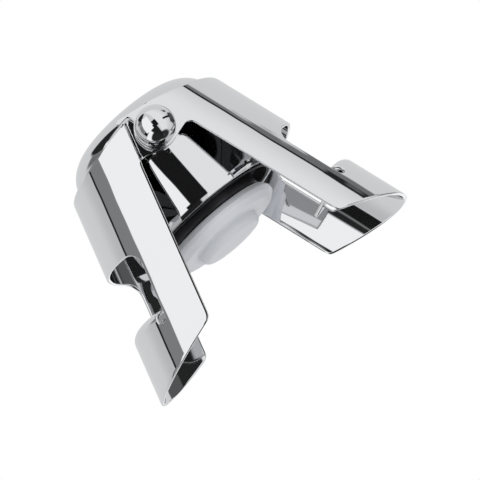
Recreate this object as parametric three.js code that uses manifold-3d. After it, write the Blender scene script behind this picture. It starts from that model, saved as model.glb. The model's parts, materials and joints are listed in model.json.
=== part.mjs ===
// Champagne stopper with two hinged levers, shown open.
// Millimetres. +Z runs up the stopper's axis, +Y is the pivot axis, and -Y is the front.
// The levers swing in the XZ plane, and their tips stand on the plane z = 0.

import * as THREE from "three";
import { mergeVertices } from "three/addons/utils/BufferGeometryUtils.js";
import Module from "manifold-3d";

const wasm = await Module();
wasm.setup();

// Shared sizes

const RUN_GAP = 0.3;          // clearance between pieces that move past each other
const PRESS_GAP = 0.05;       // clearance between pieces that are pressed together
const OVERRUN = 4;            // how far a cutting solid runs past what it cuts
const SEAM = 0.06;            // how far a joined solid is set inside the one it joins
const ARC_STEPS = 40;         // facets round a whole turn of a large round piece
const SMALL_STEPS = 24;       // facets round a whole turn of a small round piece
const FILLET_STEPS = 4;       // facets round a quarter turn of an edge
const SHOULDER_STEPS = 8;     // facets up the cup's shoulder
const EYE_STEPS = 16;         // facets round a lever's eye
const BALL_STEPS = 12;        // facets from the ball head's flat to its crown
const SECTION_STEPS = 20;     // facets along half of a lever's section
const TONGUE_STATIONS = 14;   // sections along a tongue
const MERGE_REACH = 1e-5;     // corners closer than this are one corner

// Body cup

const CUP_RADIUS = 17;
const CUP_WALL = 0.8;
const CUP_MOUTH_DROP = 16.8;  // mouth of the cup below the pivot
const SHOULDER_START = 2.5;   // where the shoulder begins to round, above the pivot
const SHOULDER_WIDTH = 7.8;
const SHOULDER_HEIGHT = 6.4;
const BOSS_RADIUS = 3.8;      // flat boss pressed out round each rivet hole
const BOSS_RISE = 0.3;

// Levers

const SHEET = 0.8;            // thickness of the pressed sheet
const BUSH_STAND = 0.95;      // bush's shoulder, which keeps the inner eye off the cup's boss
const EDGE_OFFSET = 5.4;      // cheek's free edge, from the pivot, across the lever
const CROWN_STAND = 2.1;      // outer face of the back, out from the cup's side
const OVAL_OFFSET = 1;        // centre of the section's oval, from the pivot, across the lever
const PLATE_OFFSET = 4.4;     // where the oval meets the flat of the outer eye
const EDGE_LENGTH = 38.8;     // pivot to the end of the free edge, along the lever
const CROWN_LENGTH = 47.6;    // pivot to the tip, along the lever
const TOP_RISE = 5.8;         // top edge above the pivot, on the pivot's line
const TOP_SLOPE = 24.7;       // degrees that the top edge falls towards the back
const EYE_RADIUS = 4.3;
const EYE_FILLET = 1.4;       // inside corner between the eye and the free edge
const EDGE_FILLET = 1.7;      // rounded corner at the end of the free edge
const JOGGLE_START = 0.2;     // start of the step that sets the inner eye back, past the free edge
const JOGGLE_RUN = 0.8;       // end of that step, past the free edge
const NOSE_REACH = 3.8;       // stop nose past the pivot, across the lever
const NOSE_FOOT_ANGLE = 105;  // degrees round the eye where the nose leaves it
const OPEN_ANGLE = 17.1;      // degrees that each lever stands open

const WINDOW_TOP = 20;        // upper edge of the window, along the lever
const WINDOW_FOOT = 32.4;     // lower edge of the window, where the tongue lies
const WINDOW_SIDE = 4.85;     // window's side, in from the cheek's outer face
const WINDOW_CORNER = 3;
const TONGUE_TIP = 10.6;      // half the width of the tongue's end, where its sides begin to flare
const TONGUE_FLARE_SHARE = 0.85; // how much of the flat is gone at the tongue's sides
const TONGUE_BEND = 1.2;      // inner radius of the tongue's bend
const CLAW_RADIUS = 14.2;     // the tongue's end follows the bottle neck at this radius
const RELIEF_RADIUS = 0.9;    // round relief beside each end of the tongue's bend

// Pivots

const BALL_RADIUS = 4.1;
const BALL_CUT = 1.33;        // flat of the ball head behind the ball's centre
const SHANK_RADIUS = 1.6;
const SHANK_CLEAR = 0.1;
const HEAD_WASHER_RADIUS = 4.35;
const HEAD_WASHER_THICK = 0.4;
const BUSH_BARREL = 2.2;      // radius of the barrel that the eyes turn on
const BUSH_SHOULDER = 3.4;
const CLENCH_RADIUS = 3.2;
const CLENCH_THICK = 0.7;
const TAIL_RADIUS = 2.6;
const TAIL_THICK = 0.9;

// Plunger and seal

const SEAL_TOP_DROP = 18.65;  // top of the seal's flange below the pivot
const FLANGE_RADIUS = 12.95;
const FLANGE_THICK = 3.4;
const FLANGE_TOP_SLANT = 0.85; // how far the flange's slanted top edge comes in
const FLANGE_FOOT_SLANT = 1.25;
const FLANGE_SLANT_HIGH = 1.2; // height of each slanted edge
const PLUG_RADIUS = 7.3;
const PLUG_LENGTH = 2.1;      // plug below the flange
const PLUG_ROUND = 1.4;
const SEAL_BORE = 3.3;
const POCKET_RADIUS = 5.4;    // pocket in the seal for the stem's button
const POCKET_DROP = 2;        // top of the pocket below the seal's top
const POCKET_HIGH = 2.2;

const STEM_RADIUS = 3;
const STEM_TOP_DROP = 1;      // top of the stem below the pivot
const STEM_COLLAR_RADIUS = 4.4;
const STEM_COLLAR_THICK = 1;
const STEM_WASHER_THICK = 0.5;
const BUTTON_RADIUS = 5;
const BUTTON_THICK = 1.6;

const DISH_CLEAR = 1;         // dish's rim to the cup's bore
const DISH_RIM = 3.6;         // width of the dish's rim
const DISH_SHEET = 0.8;
const RING_THICK = 0.9;
const RING_WIDTH = 2.3;       // how far the ring stands into the cup's bore
const RING_GROOVE = 0.3;      // depth of the groove that holds the ring
const RING_MOUTH = 0.6;       // ring above the cup's mouth
const RING_SPLIT = 5;         // width of the split in the ring

const SLEEVE_WALL = 1.2;
const SLEEVE_LENGTH = 13;
const SLEEVE_FLANGE_THICK = 0.8;
const SEAT_THICK = 0.8;
const SEAT_MARGIN = 1.3;      // seat past the outside of the spring

const SPRING_WIRE = 1.3;
const SPRING_TURNS = 7;
const SPRING_STEPS = 8;       // steps in each turn
const SPRING_SIDES = 5;
const SPRING_DEAD_TURNS = 1;  // closed turns at each end
const SPRING_DEAD_SHARE = 1.45; // pitch of a closed turn, as a share of the wire

// Worked-out places

const DEGREE = Math.PI / 180;
const OPEN = OPEN_ANGLE * DEGREE;
const CROWN_OFFSET = CUP_RADIUS + CROWN_STAND;
const TOP_FALL_SHARE = Math.tan(TOP_SLOPE * DEGREE);
const BACK_DEPTH = CROWN_OFFSET - EDGE_OFFSET;
const OVAL_DEPTH = CROWN_OFFSET - OVAL_OFFSET;
const PLATE_SHARE = (PLATE_OFFSET - OVAL_OFFSET) / OVAL_DEPTH;
const NOSE_FOOT = EYE_RADIUS * Math.cos(NOSE_FOOT_ANGLE * DEGREE);
const PIVOT_HEIGHT = CROWN_LENGTH * Math.cos(OPEN) - CROWN_OFFSET * Math.sin(OPEN);
const LAYER_STEP = SHEET + RUN_GAP;
const BOSS_FACE = CUP_RADIUS + BOSS_RISE;
const BUSH_STEP = BOSS_FACE + BUSH_STAND;
const CHEEK_REACH = BUSH_STEP + RUN_GAP + SHEET + LAYER_STEP;
const OVAL_REACH = CHEEK_REACH / Math.sqrt(1 - PLATE_SHARE * PLATE_SHARE);
const WINDOW_HALF = CHEEK_REACH - WINDOW_SIDE;
const TONGUE_HALF = WINDOW_HALF - 2 * RELIEF_RADIUS;
const WASHER_FACE = CHEEK_REACH + RUN_GAP;
const HEAD_FACE = WASHER_FACE + HEAD_WASHER_THICK;
const CUP_BORE = CUP_RADIUS - CUP_WALL;
const CUP_TOP = SHOULDER_START + SHOULDER_HEIGHT;
const CUP_CEILING = CUP_TOP - CUP_WALL;
const CLENCH_FACE = Math.sqrt(CUP_BORE * CUP_BORE - CLENCH_RADIUS * CLENCH_RADIUS) - PRESS_GAP;
const RING_TOP = -CUP_MOUTH_DROP + RING_MOUTH + RING_THICK;
const DISH_RIM_UNDER = RING_TOP + RUN_GAP;
const DISH_FLOOR_UNDER = -SEAL_TOP_DROP;
const DISH_FLOOR_TOP = DISH_FLOOR_UNDER + DISH_SHEET;
const DISH_RIM_RADIUS = CUP_BORE - DISH_CLEAR;
const DISH_WALL_RADIUS = DISH_RIM_RADIUS - DISH_RIM;
const SLEEVE_BORE = STEM_RADIUS + RUN_GAP;
const SLEEVE_BARREL = SLEEVE_BORE + SLEEVE_WALL;
const SLEEVE_FLANGE_RADIUS = CUP_RADIUS - SHOULDER_WIDTH - RUN_GAP;
const SEAT_TOP = CUP_CEILING - SLEEVE_FLANGE_THICK;
const SPRING_RADIUS = (SLEEVE_BARREL + DISH_WALL_RADIUS - DISH_SHEET) / 2;
const SEAT_RADIUS = SPRING_RADIUS + SPRING_WIRE / 2 + SEAT_MARGIN;
const STEM_WASHER_RADIUS = (STEM_COLLAR_RADIUS + SPRING_RADIUS - SPRING_WIRE / 2) / 2;

// Materials, from the photograph

const chrome = new THREE.MeshStandardMaterial({ color: 0xd9dbde, roughness: 0.06, metalness: 1 });
const plated = new THREE.MeshStandardMaterial({ color: 0xb9bcc0, roughness: 0.28, metalness: 1 });
const blackened = new THREE.MeshStandardMaterial({ color: 0x2c2d30, roughness: 0.45, metalness: 1 });
const springSteel = new THREE.MeshStandardMaterial({ color: 0x8f9499, roughness: 0.32, metalness: 1 });
const silicone = new THREE.MeshStandardMaterial({ color: 0xdcdde4, roughness: 0.5, metalness: 0 });

// Closed solids for cutting and joining

function toSolid(geometry) {
  const bare = geometry.clone();
  for (const name of Object.keys(bare.attributes)) {
    if (name !== "position") bare.deleteAttribute(name);
  }
  const merged = mergeVertices(bare, MERGE_REACH);
  return new wasm.Manifold(new wasm.Mesh({
    numProp: 3,
    vertProperties: new Float32Array(merged.attributes.position.array),
    triVerts: new Uint32Array(merged.index.array),
  }));
}

function toGeometry(solid) {
  const mesh = solid.getMesh();
  const geometry = new THREE.BufferGeometry();
  geometry.setAttribute("position", new THREE.BufferAttribute(mesh.vertProperties, 3));
  geometry.setIndex(new THREE.BufferAttribute(mesh.triVerts, 1));
  geometry.computeVertexNormals();
  return geometry;
}

function joined(first, ...others) {
  return others.reduce((sum, other) => sum.add(other), first);
}

// A lathe turned about Z, from (radius, height) points that close on themselves or end on the axis

function turned(points, steps = ARC_STEPS) {
  const outline = points.map(([radius, height]) => new THREE.Vector2(radius, height));
  const lathe = new THREE.LatheGeometry(outline, steps);
  lathe.rotateX(Math.PI / 2);
  return lathe;
}

function ringOutline(inner, outer, low, high) {
  return [[inner, low], [outer, low], [outer, high], [inner, high], [inner, low]];
}

function discOutline(radius, low, high) {
  return [[0, low], [radius, low], [radius, high], [0, high]];
}

// Quarter-round points from one direction to another, in degrees

function arcPoints(centreX, centreY, radiusX, radiusY, from, to, steps = FILLET_STEPS) {
  const points = [];
  for (let i = 0; i <= steps; i++) {
    const angle = (from + ((to - from) * i) / steps) * DEGREE;
    points.push([centreX + radiusX * Math.cos(angle), centreY + radiusY * Math.sin(angle)]);
  }
  return points;
}

// A solid of the (across, up) outline that runs in depth from one y to another

function slab(outline, fromY, toY) {
  const shape = new THREE.Shape(outline.map(([across, up]) => new THREE.Vector2(across, up)));
  const solid = new THREE.ExtrudeGeometry(shape, { depth: toY - fromY, bevelEnabled: false });
  solid.rotateX(Math.PI / 2);
  solid.translate(0, toY, 0);
  return toSolid(solid);
}

// A round bar along Y

function barAlongY(radius, fromY, toY, across = 0, up = 0) {
  const bar = new THREE.CylinderGeometry(radius, radius, toY - fromY, SMALL_STEPS);
  bar.translate(across, (fromY + toY) / 2, up);
  return toSolid(bar);
}

// Lever, in its own frame: x across the lever from the pivot, y in depth, z up along the lever

// A point on half of the section's oval, from the given place across the lever round to the back
function backPoint(share, inset, startX) {
  const start = Math.asin((startX - OVAL_OFFSET) / (OVAL_DEPTH - inset));
  const angle = start + share * (Math.PI / 2 - start);
  const across = OVAL_OFFSET + (OVAL_DEPTH - inset) * Math.sin(angle);
  return [across, (OVAL_REACH - inset) * Math.cos(angle)];
}

function sectionCurve(inset) {
  const points = [];
  for (let i = -SECTION_STEPS; i <= SECTION_STEPS; i++) {
    const startX = i < 0 ? PLATE_OFFSET : EDGE_OFFSET - JOGGLE_START;
    const [across, depth] = backPoint(1 - Math.abs(i) / SECTION_STEPS, inset, startX);
    points.push([across, Math.sign(i) * depth]);
  }
  return points;
}

// The section, with a straight eye plate in front and a plate set back by one layer behind
function leverSection() {
  const plateEnd = -NOSE_REACH - OVERRUN;
  const rampEnd = EDGE_OFFSET - JOGGLE_RUN;
  const setBack = CHEEK_REACH - LAYER_STEP;
  return [
    [plateEnd, -CHEEK_REACH],
    ...sectionCurve(0),
    [rampEnd, setBack],
    [plateEnd, setBack],
    [plateEnd, setBack - SHEET],
    [rampEnd, setBack - SHEET],
    ...sectionCurve(SHEET).reverse(),
    [plateEnd, SHEET - CHEEK_REACH],
  ];
}

function channel(section, low, high) {
  const shape = new THREE.Shape(section.map(([across, depth]) => new THREE.Vector2(across, depth)));
  const solid = new THREE.ExtrudeGeometry(shape, { depth: high - low, bevelEnabled: false });
  solid.translate(0, 0, low);
  return toSolid(solid);
}

function topEdgeHeight(across) {
  return TOP_RISE - across * TOP_FALL_SHARE;
}

// Line of the other lever's top edge in this lever's frame, when both stand open
function stopLine(across) {
  const turn = 2 * OPEN;
  const slope = TOP_SLOPE * DEGREE;
  const startX = TOP_RISE * Math.sin(turn);
  const startZ = TOP_RISE * Math.cos(turn);
  const rise = Math.tan(slope - turn);
  return startZ + (across - startX) * rise;
}

// Side outline of the lever: top edge, stop nose, eye, free edge, oblique tip
function sideOutline() {
  const tipX = CROWN_OFFSET + OVERRUN;
  const cutSlope = (CROWN_LENGTH - EDGE_LENGTH) / BACK_DEPTH;
  const tipZ = -EDGE_LENGTH - (tipX - EDGE_OFFSET) * cutSlope;
  const cutAngle = Math.atan(cutSlope);
  const cornerReach = EDGE_FILLET * Math.tan((Math.PI / 2 - cutAngle) / 2);
  const edgeEnd = -EDGE_LENGTH + cornerReach;
  const topOuter = [tipX, topEdgeHeight(tipX)];
  const eye = arcPoints(0, 0, EYE_RADIUS, EYE_RADIUS, NOSE_FOOT_ANGLE, 270, EYE_STEPS);
  const nose = [
    [-NOSE_REACH, topEdgeHeight(-NOSE_REACH)],
    [-NOSE_REACH, stopLine(-NOSE_REACH) + RUN_GAP],
    [NOSE_FOOT, stopLine(NOSE_FOOT) + RUN_GAP],
  ];
  const eyeCorner = arcPoints(EDGE_OFFSET - EYE_FILLET, -EYE_RADIUS - EYE_FILLET,
    EYE_FILLET, EYE_FILLET, 90, 0);
  const startAngle = 180;
  const endAngle = 180 + 90 - cutAngle / DEGREE;
  const edgeCorner = arcPoints(EDGE_OFFSET + EDGE_FILLET, edgeEnd, EDGE_FILLET, EDGE_FILLET,
    startAngle, endAngle);
  return [topOuter, ...nose, ...eye, ...eyeCorner, ...edgeCorner, [tipX, tipZ]];
}

// Window: opening through the back, seen from outside, whose lower corners are the tongue's reliefs
function windowCutter() {
  const tongueFoot = -WINDOW_FOOT - TONGUE_BEND - SHEET;
  const cornerY = WINDOW_HALF - WINDOW_CORNER;
  const cornerZ = -WINDOW_TOP - WINDOW_CORNER;
  const reliefY = TONGUE_HALF + RELIEF_RADIUS;
  const half = [
    ...arcPoints(cornerY, cornerZ, WINDOW_CORNER, WINDOW_CORNER, 90, 0),
    ...arcPoints(reliefY, tongueFoot, RELIEF_RADIUS, RELIEF_RADIUS, 0, -180, 2 * FILLET_STEPS),
  ];
  const mirrored = half.map(([depth, up]) => [-depth, up]).reverse();
  const outline = [...half, ...mirrored];
  const shape = new THREE.Shape(outline.map(([depth, up]) => new THREE.Vector2(depth, up)));
  const reach = CROWN_OFFSET + OVERRUN - EDGE_OFFSET;
  const cutter = new THREE.ExtrudeGeometry(shape, { depth: reach, bevelEnabled: false });
  cutter.rotateX(Math.PI / 2);
  cutter.rotateZ(Math.PI / 2);
  cutter.translate(EDGE_OFFSET, 0, 0);
  return toSolid(cutter);
}

// Closed solid through a row of outlines that have the same number of points
function loft(outlines) {
  const count = outlines[0].length;
  const positions = outlines.flat(2);
  const triangles = [];
  for (let row = 0; row + 1 < outlines.length; row++) {
    for (let i = 0; i < count; i++) {
      const next = (i + 1) % count;
      const a = row * count + i;
      const b = row * count + next;
      triangles.push(a, b + count, b, a, a + count, b + count);
    }
  }
  const flat = outlines[0].map(([x, , z]) => new THREE.Vector2(x, z));
  const last = (outlines.length - 1) * count;
  for (const [a, b, c] of THREE.ShapeUtils.triangulateShape(flat, [])) {
    triangles.push(a, b, c);
    triangles.push(last + a, last + c, last + b);
  }
  const geometry = new THREE.BufferGeometry();
  geometry.setAttribute("position", new THREE.Float32BufferAttribute(positions, 3));
  geometry.setIndex(triangles);
  return toSolid(geometry);
}

function backAt(depth, inset) {
  const share = depth / (OVAL_REACH - inset);
  return OVAL_OFFSET + (OVAL_DEPTH - inset) * Math.sqrt(1 - share * share);
}

// Tongue: the back's sheet below the window, bent in to lie under the bottle's lip
function tongue() {
  const bendRadius = TONGUE_BEND + SHEET;
  const bendZ = -WINDOW_FOOT - bendRadius;
  const outlines = [];
  for (let i = 0; i <= TONGUE_STATIONS; i++) {
    const depth = TONGUE_HALF * (2 * i / TONGUE_STATIONS - 1);
    const outer = backAt(depth, 0) - SEAM;
    const inner = backAt(depth, SHEET) + SEAM;
    const bendX = outer - bendRadius;
    const flare = Math.max(0, Math.abs(depth) - TONGUE_TIP) / (TONGUE_HALF - TONGUE_TIP);
    const endX = EDGE_OFFSET + flare * TONGUE_FLARE_SHARE * (bendX - EDGE_OFFSET);
    const outline = [
      [outer, bendZ - SHEET],
      ...arcPoints(bendX, bendZ, bendRadius, bendRadius, 0, 90),
      [endX, -WINDOW_FOOT],
      [endX, -WINDOW_FOOT - SHEET],
      ...arcPoints(bendX, bendZ, inner - bendX, TONGUE_BEND, 90, 0),
      [inner, bendZ - SHEET],
    ];
    outlines.push(outline.map(([across, up]) => [across, depth, up]));
  }
  const neck = new THREE.CylinderGeometry(CLAW_RADIUS, CLAW_RADIUS, CUP_RADIUS, ARC_STEPS);
  neck.rotateX(Math.PI / 2);
  neck.translate(0, 0, -WINDOW_FOOT);
  return loft(outlines).subtract(toSolid(neck));
}

function lever() {
  const high = topEdgeHeight(-NOSE_REACH) + OVERRUN;
  const pressing = channel(leverSection(), -CROWN_LENGTH - OVERRUN, high);
  const depth = CHEEK_REACH + OVERRUN;
  const spareNose = slab([
    [NOSE_FOOT, EYE_RADIUS],
    [NOSE_FOOT, high],
    [NOSE_FOOT - NOSE_REACH, high],
    [NOSE_FOOT - NOSE_REACH, EYE_RADIUS],
  ], SHEET, depth);
  const outline = slab(sideOutline(), -depth, depth).subtract(spareNose);
  const eyeHole = barAlongY(BUSH_BARREL + RUN_GAP, -depth, depth);
  const blank = pressing.intersect(outline).subtract(eyeHole).subtract(windowCutter());
  return toGeometry(blank.add(tongue()));
}

// Body cup: drawn from sheet, with a boss and hole for each rivet and a groove for the ring

function bodyShell() {
  const grooveLow = -CUP_MOUTH_DROP + RING_MOUTH - PRESS_GAP;
  const grooveHigh = RING_TOP + PRESS_GAP;
  const shoulder = arcPoints(CUP_RADIUS - SHOULDER_WIDTH, SHOULDER_START,
    SHOULDER_WIDTH, SHOULDER_HEIGHT, 0, 90, SHOULDER_STEPS);
  const lining = arcPoints(CUP_RADIUS - SHOULDER_WIDTH, SHOULDER_START,
    SHOULDER_WIDTH - CUP_WALL, SHOULDER_HEIGHT - CUP_WALL, 90, 0, SHOULDER_STEPS);
  const cup = toSolid(turned([
    [CUP_BORE, -CUP_MOUTH_DROP],
    [CUP_RADIUS, -CUP_MOUTH_DROP],
    ...shoulder,
    [0, CUP_TOP],
    [0, CUP_CEILING],
    ...lining,
    [CUP_BORE, grooveHigh],
    [CUP_BORE + RING_GROOVE, grooveHigh],
    [CUP_BORE + RING_GROOVE, grooveLow],
    [CUP_BORE, grooveLow],
    [CUP_BORE, -CUP_MOUTH_DROP],
  ]));
  const bore = toSolid(turned(discOutline(CUP_BORE, -CUP_MOUTH_DROP, CUP_CEILING)));
  const bossStart = CUP_BORE - CUP_WALL;
  const rearBoss = barAlongY(BOSS_RADIUS, bossStart, BOSS_FACE).subtract(bore);
  const frontBoss = barAlongY(BOSS_RADIUS, -BOSS_FACE, -bossStart).subtract(bore);
  const hole = barAlongY(SHANK_RADIUS + SHANK_CLEAR, -CUP_RADIUS - OVERRUN, CUP_RADIUS + OVERRUN);
  return toGeometry(joined(cup, rearBoss, frontBoss).subtract(hole));
}

// Pieces at a pivot, turned about Z with +Z pointing out of the stopper, then laid along Y

function ballRivet() {
  const ballCentre = HEAD_FACE + BALL_CUT;
  const cutAngle = -Math.asin(BALL_CUT / BALL_RADIUS) / DEGREE;
  const tailFace = CLENCH_FACE - CLENCH_THICK;
  return turned([
    [0, tailFace - TAIL_THICK],
    ...arcPoints(0, tailFace, TAIL_RADIUS, TAIL_THICK, -90, 0).slice(1),
    [SHANK_RADIUS, tailFace],
    [SHANK_RADIUS, HEAD_FACE],
    ...arcPoints(0, ballCentre, BALL_RADIUS, BALL_RADIUS, cutAngle, 90, BALL_STEPS),
  ], SMALL_STEPS);
}

function headWasher() {
  return turned(ringOutline(SHANK_RADIUS + SHANK_CLEAR, HEAD_WASHER_RADIUS, WASHER_FACE, HEAD_FACE),
    SMALL_STEPS);
}

function pivotBush() {
  const bore = SHANK_RADIUS + SHANK_CLEAR;
  return turned([
    [bore, BOSS_FACE],
    [BUSH_SHOULDER, BOSS_FACE],
    [BUSH_SHOULDER, BUSH_STEP],
    [BUSH_BARREL, BUSH_STEP],
    [BUSH_BARREL, WASHER_FACE],
    [bore, WASHER_FACE],
    [bore, BOSS_FACE],
  ], SMALL_STEPS);
}

function clenchWasher() {
  const low = CLENCH_FACE - CLENCH_THICK;
  return turned(ringOutline(SHANK_RADIUS + SHANK_CLEAR, CLENCH_RADIUS, low, CLENCH_FACE), SMALL_STEPS);
}

// Plunger

function sealGeometry() {
  const top = -SEAL_TOP_DROP;
  const under = top - FLANGE_THICK;
  const bottom = under - PLUG_LENGTH;
  const pocketTop = top - POCKET_DROP;
  return turned([
    [0, bottom],
    ...arcPoints(PLUG_RADIUS - PLUG_ROUND, bottom + PLUG_ROUND, PLUG_ROUND, PLUG_ROUND, -90, 0),
    [PLUG_RADIUS, under],
    [FLANGE_RADIUS - FLANGE_FOOT_SLANT, under],
    [FLANGE_RADIUS, under + FLANGE_SLANT_HIGH],
    [FLANGE_RADIUS, top - FLANGE_SLANT_HIGH],
    [FLANGE_RADIUS - FLANGE_TOP_SLANT, top],
    [SEAL_BORE, top],
    [SEAL_BORE, pocketTop],
    [POCKET_RADIUS, pocketTop],
    [POCKET_RADIUS, pocketTop - POCKET_HIGH],
    [0, pocketTop - POCKET_HIGH],
  ]);
}

function plungerStem() {
  const collarUnder = DISH_FLOOR_TOP + STEM_WASHER_THICK;
  const buttonTop = -SEAL_TOP_DROP - POCKET_DROP - RUN_GAP;
  return turned([
    [0, buttonTop - BUTTON_THICK],
    [BUTTON_RADIUS, buttonTop - BUTTON_THICK],
    [BUTTON_RADIUS, buttonTop],
    [STEM_RADIUS, buttonTop],
    [STEM_RADIUS, collarUnder],
    [STEM_COLLAR_RADIUS, collarUnder],
    [STEM_COLLAR_RADIUS, collarUnder + STEM_COLLAR_THICK],
    [STEM_RADIUS, collarUnder + STEM_COLLAR_THICK],
    [STEM_RADIUS, -STEM_TOP_DROP],
    [0, -STEM_TOP_DROP],
  ], SMALL_STEPS);
}

function stemWasher() {
  const low = DISH_FLOOR_TOP;
  return turned(ringOutline(STEM_RADIUS + SHANK_CLEAR, STEM_WASHER_RADIUS, low, low + STEM_WASHER_THICK),
    SMALL_STEPS);
}

function pressureDish() {
  const bore = STEM_RADIUS + SHANK_CLEAR;
  return turned([
    [bore, DISH_FLOOR_UNDER],
    [DISH_WALL_RADIUS, DISH_FLOOR_UNDER],
    [DISH_WALL_RADIUS, DISH_RIM_UNDER],
    [DISH_RIM_RADIUS, DISH_RIM_UNDER],
    [DISH_RIM_RADIUS, DISH_RIM_UNDER + DISH_SHEET],
    [DISH_WALL_RADIUS - DISH_SHEET, DISH_RIM_UNDER + DISH_SHEET],
    [DISH_WALL_RADIUS - DISH_SHEET, DISH_FLOOR_TOP],
    [bore, DISH_FLOOR_TOP],
    [bore, DISH_FLOOR_UNDER],
  ]);
}

// Split ring in the cup's groove
function retainingRing() {
  const outer = CUP_BORE + RING_GROOVE - PRESS_GAP;
  const inner = CUP_BORE - RING_WIDTH;
  const ring = toSolid(turned(ringOutline(inner, outer, RING_TOP - RING_THICK, RING_TOP)));
  const split = new THREE.BoxGeometry(RING_SPLIT, CUP_RADIUS, RING_THICK + OVERRUN);
  split.translate(0, CUP_RADIUS, RING_TOP - RING_THICK / 2);
  return toGeometry(ring.subtract(toSolid(split)));
}

function guideSleeve() {
  const foot = CUP_CEILING - SLEEVE_LENGTH;
  return turned([
    [SLEEVE_BORE, foot],
    [SLEEVE_BARREL, foot],
    [SLEEVE_BARREL, SEAT_TOP],
    [SLEEVE_FLANGE_RADIUS, SEAT_TOP],
    [SLEEVE_FLANGE_RADIUS, CUP_CEILING],
    [SLEEVE_BORE, CUP_CEILING],
    [SLEEVE_BORE, foot],
  ], SMALL_STEPS);
}

function springSeat() {
  const inner = SLEEVE_BARREL + SHANK_CLEAR;
  return turned(ringOutline(inner, SEAT_RADIUS, SEAT_TOP - SEAT_THICK, SEAT_TOP), SMALL_STEPS);
}

// Compression spring: one unbroken wire, wound closer over the dead turns at its ends
function compressionSpring() {
  const half = SPRING_WIRE / 2;
  const low = DISH_FLOOR_TOP + half + PRESS_GAP;
  const high = SEAT_TOP - SEAT_THICK - half - PRESS_GAP;
  const deadPitch = SPRING_WIRE * SPRING_DEAD_SHARE;
  const liveTurns = SPRING_TURNS - 2 * SPRING_DEAD_TURNS;
  const livePitch = (high - low - 2 * SPRING_DEAD_TURNS * deadPitch) / liveTurns;
  const heightAt = (turn) => {
    const first = Math.min(turn, SPRING_DEAD_TURNS) * deadPitch;
    const live = Math.min(Math.max(turn - SPRING_DEAD_TURNS, 0), liveTurns) * livePitch;
    const last = Math.max(turn - SPRING_DEAD_TURNS - liveTurns, 0) * deadPitch;
    return low + first + live + last;
  };
  const steps = SPRING_TURNS * SPRING_STEPS;
  const positions = [];
  const triangles = [];
  for (let i = 0; i <= steps; i++) {
    const turn = i / SPRING_STEPS;
    const angle = turn * 2 * Math.PI;
    for (let side = 0; side < SPRING_SIDES; side++) {
      const round = (side / SPRING_SIDES) * 2 * Math.PI;
      const radius = SPRING_RADIUS + half * Math.cos(round);
      const height = heightAt(turn) + half * Math.sin(round);
      positions.push(radius * Math.cos(angle), radius * Math.sin(angle), height);
    }
  }
  for (let i = 0; i < steps; i++) {
    for (let side = 0; side < SPRING_SIDES; side++) {
      const next = (side + 1) % SPRING_SIDES;
      const a = i * SPRING_SIDES + side;
      const b = i * SPRING_SIDES + next;
      triangles.push(a, a + SPRING_SIDES, b + SPRING_SIDES, a, b + SPRING_SIDES, b);
    }
  }
  const last = steps * SPRING_SIDES;
  for (let side = 1; side + 1 < SPRING_SIDES; side++) {
    triangles.push(0, side, side + 1);
    triangles.push(last, last + side + 1, last + side);
  }
  const geometry = new THREE.BufferGeometry();
  geometry.setAttribute("position", new THREE.Float32BufferAttribute(positions, 3));
  geometry.setIndex(triangles);
  geometry.computeVertexNormals();
  console.log("least gap between turns, mm:", (Math.min(deadPitch, livePitch) - SPRING_WIRE).toFixed(2));
  return geometry;
}

// Assembly

const stopper = new THREE.Group();
const works = new THREE.Group();
works.position.z = PIVOT_HEIGHT;
stopper.add(works);

function place(name, geometry, material, parent = works) {
  const mesh = new THREE.Mesh(geometry, material);
  mesh.name = name;
  parent.add(mesh);
  return mesh;
}

place("body_shell", bodyShell(), chrome);
place("guide_sleeve", guideSleeve(), plated);
place("spring_seat", springSeat(), plated);
place("compression_spring", compressionSpring(), springSteel);
place("retaining_ring", retainingRing(), blackened);
place("plunger_stem", plungerStem(), plated);
place("stem_washer", stemWasher(), plated);
place("pressure_dish", pressureDish(), blackened);
place("seal", sealGeometry(), silicone);

// The two pivots: a quarter turn about X lays +Z along -Y, and the rear one is turned half round
for (const [side, halfTurns] of [["front", 0], ["rear", 1]]) {
  const pivot = new THREE.Group();
  pivot.rotation.set(Math.PI / 2, 0, 0);
  const spin = new THREE.Group();
  spin.rotation.z = halfTurns * Math.PI;
  spin.add(pivot);
  works.add(spin);
  place(`${side}_pivot_rivet`, ballRivet(), chrome, pivot);
  place(`${side}_head_washer`, headWasher(), chrome, pivot);
  place(`${side}_pivot_bush`, pivotBush(), plated, pivot);
  place(`${side}_clench_washer`, clenchWasher(), plated, pivot);
}

// The two levers are the same pressing, one turned half round about the stopper's axis
for (const [name, halfTurns] of [["right_arm", 0], ["left_arm", 1]]) {
  const spin = new THREE.Group();
  spin.rotation.z = halfTurns * Math.PI;
  works.add(spin);
  const arm = place(name, lever(), chrome, spin);
  arm.rotation.y = -OPEN;
}

export default stopper;
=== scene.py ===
# %% [markdown]
# A champagne stopper: a deep-drawn cup with a sprung silicone seal inside, and two pressed levers
# that hang on ball-headed rivets and hook under the bottle's lip. Nearly everything that shows is
# chrome, so this lesson is mostly about smooth surfaces with true normals and about what they
# reflect. The working model is loaded first. It gives every size and place, and nothing moves it.

# %% Load the working model
import json
import math

import bpy
import numpy as np
from mathutils import Matrix, Quaternion, Vector
from mathutils.geometry import delaunay_2d_cdt


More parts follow.
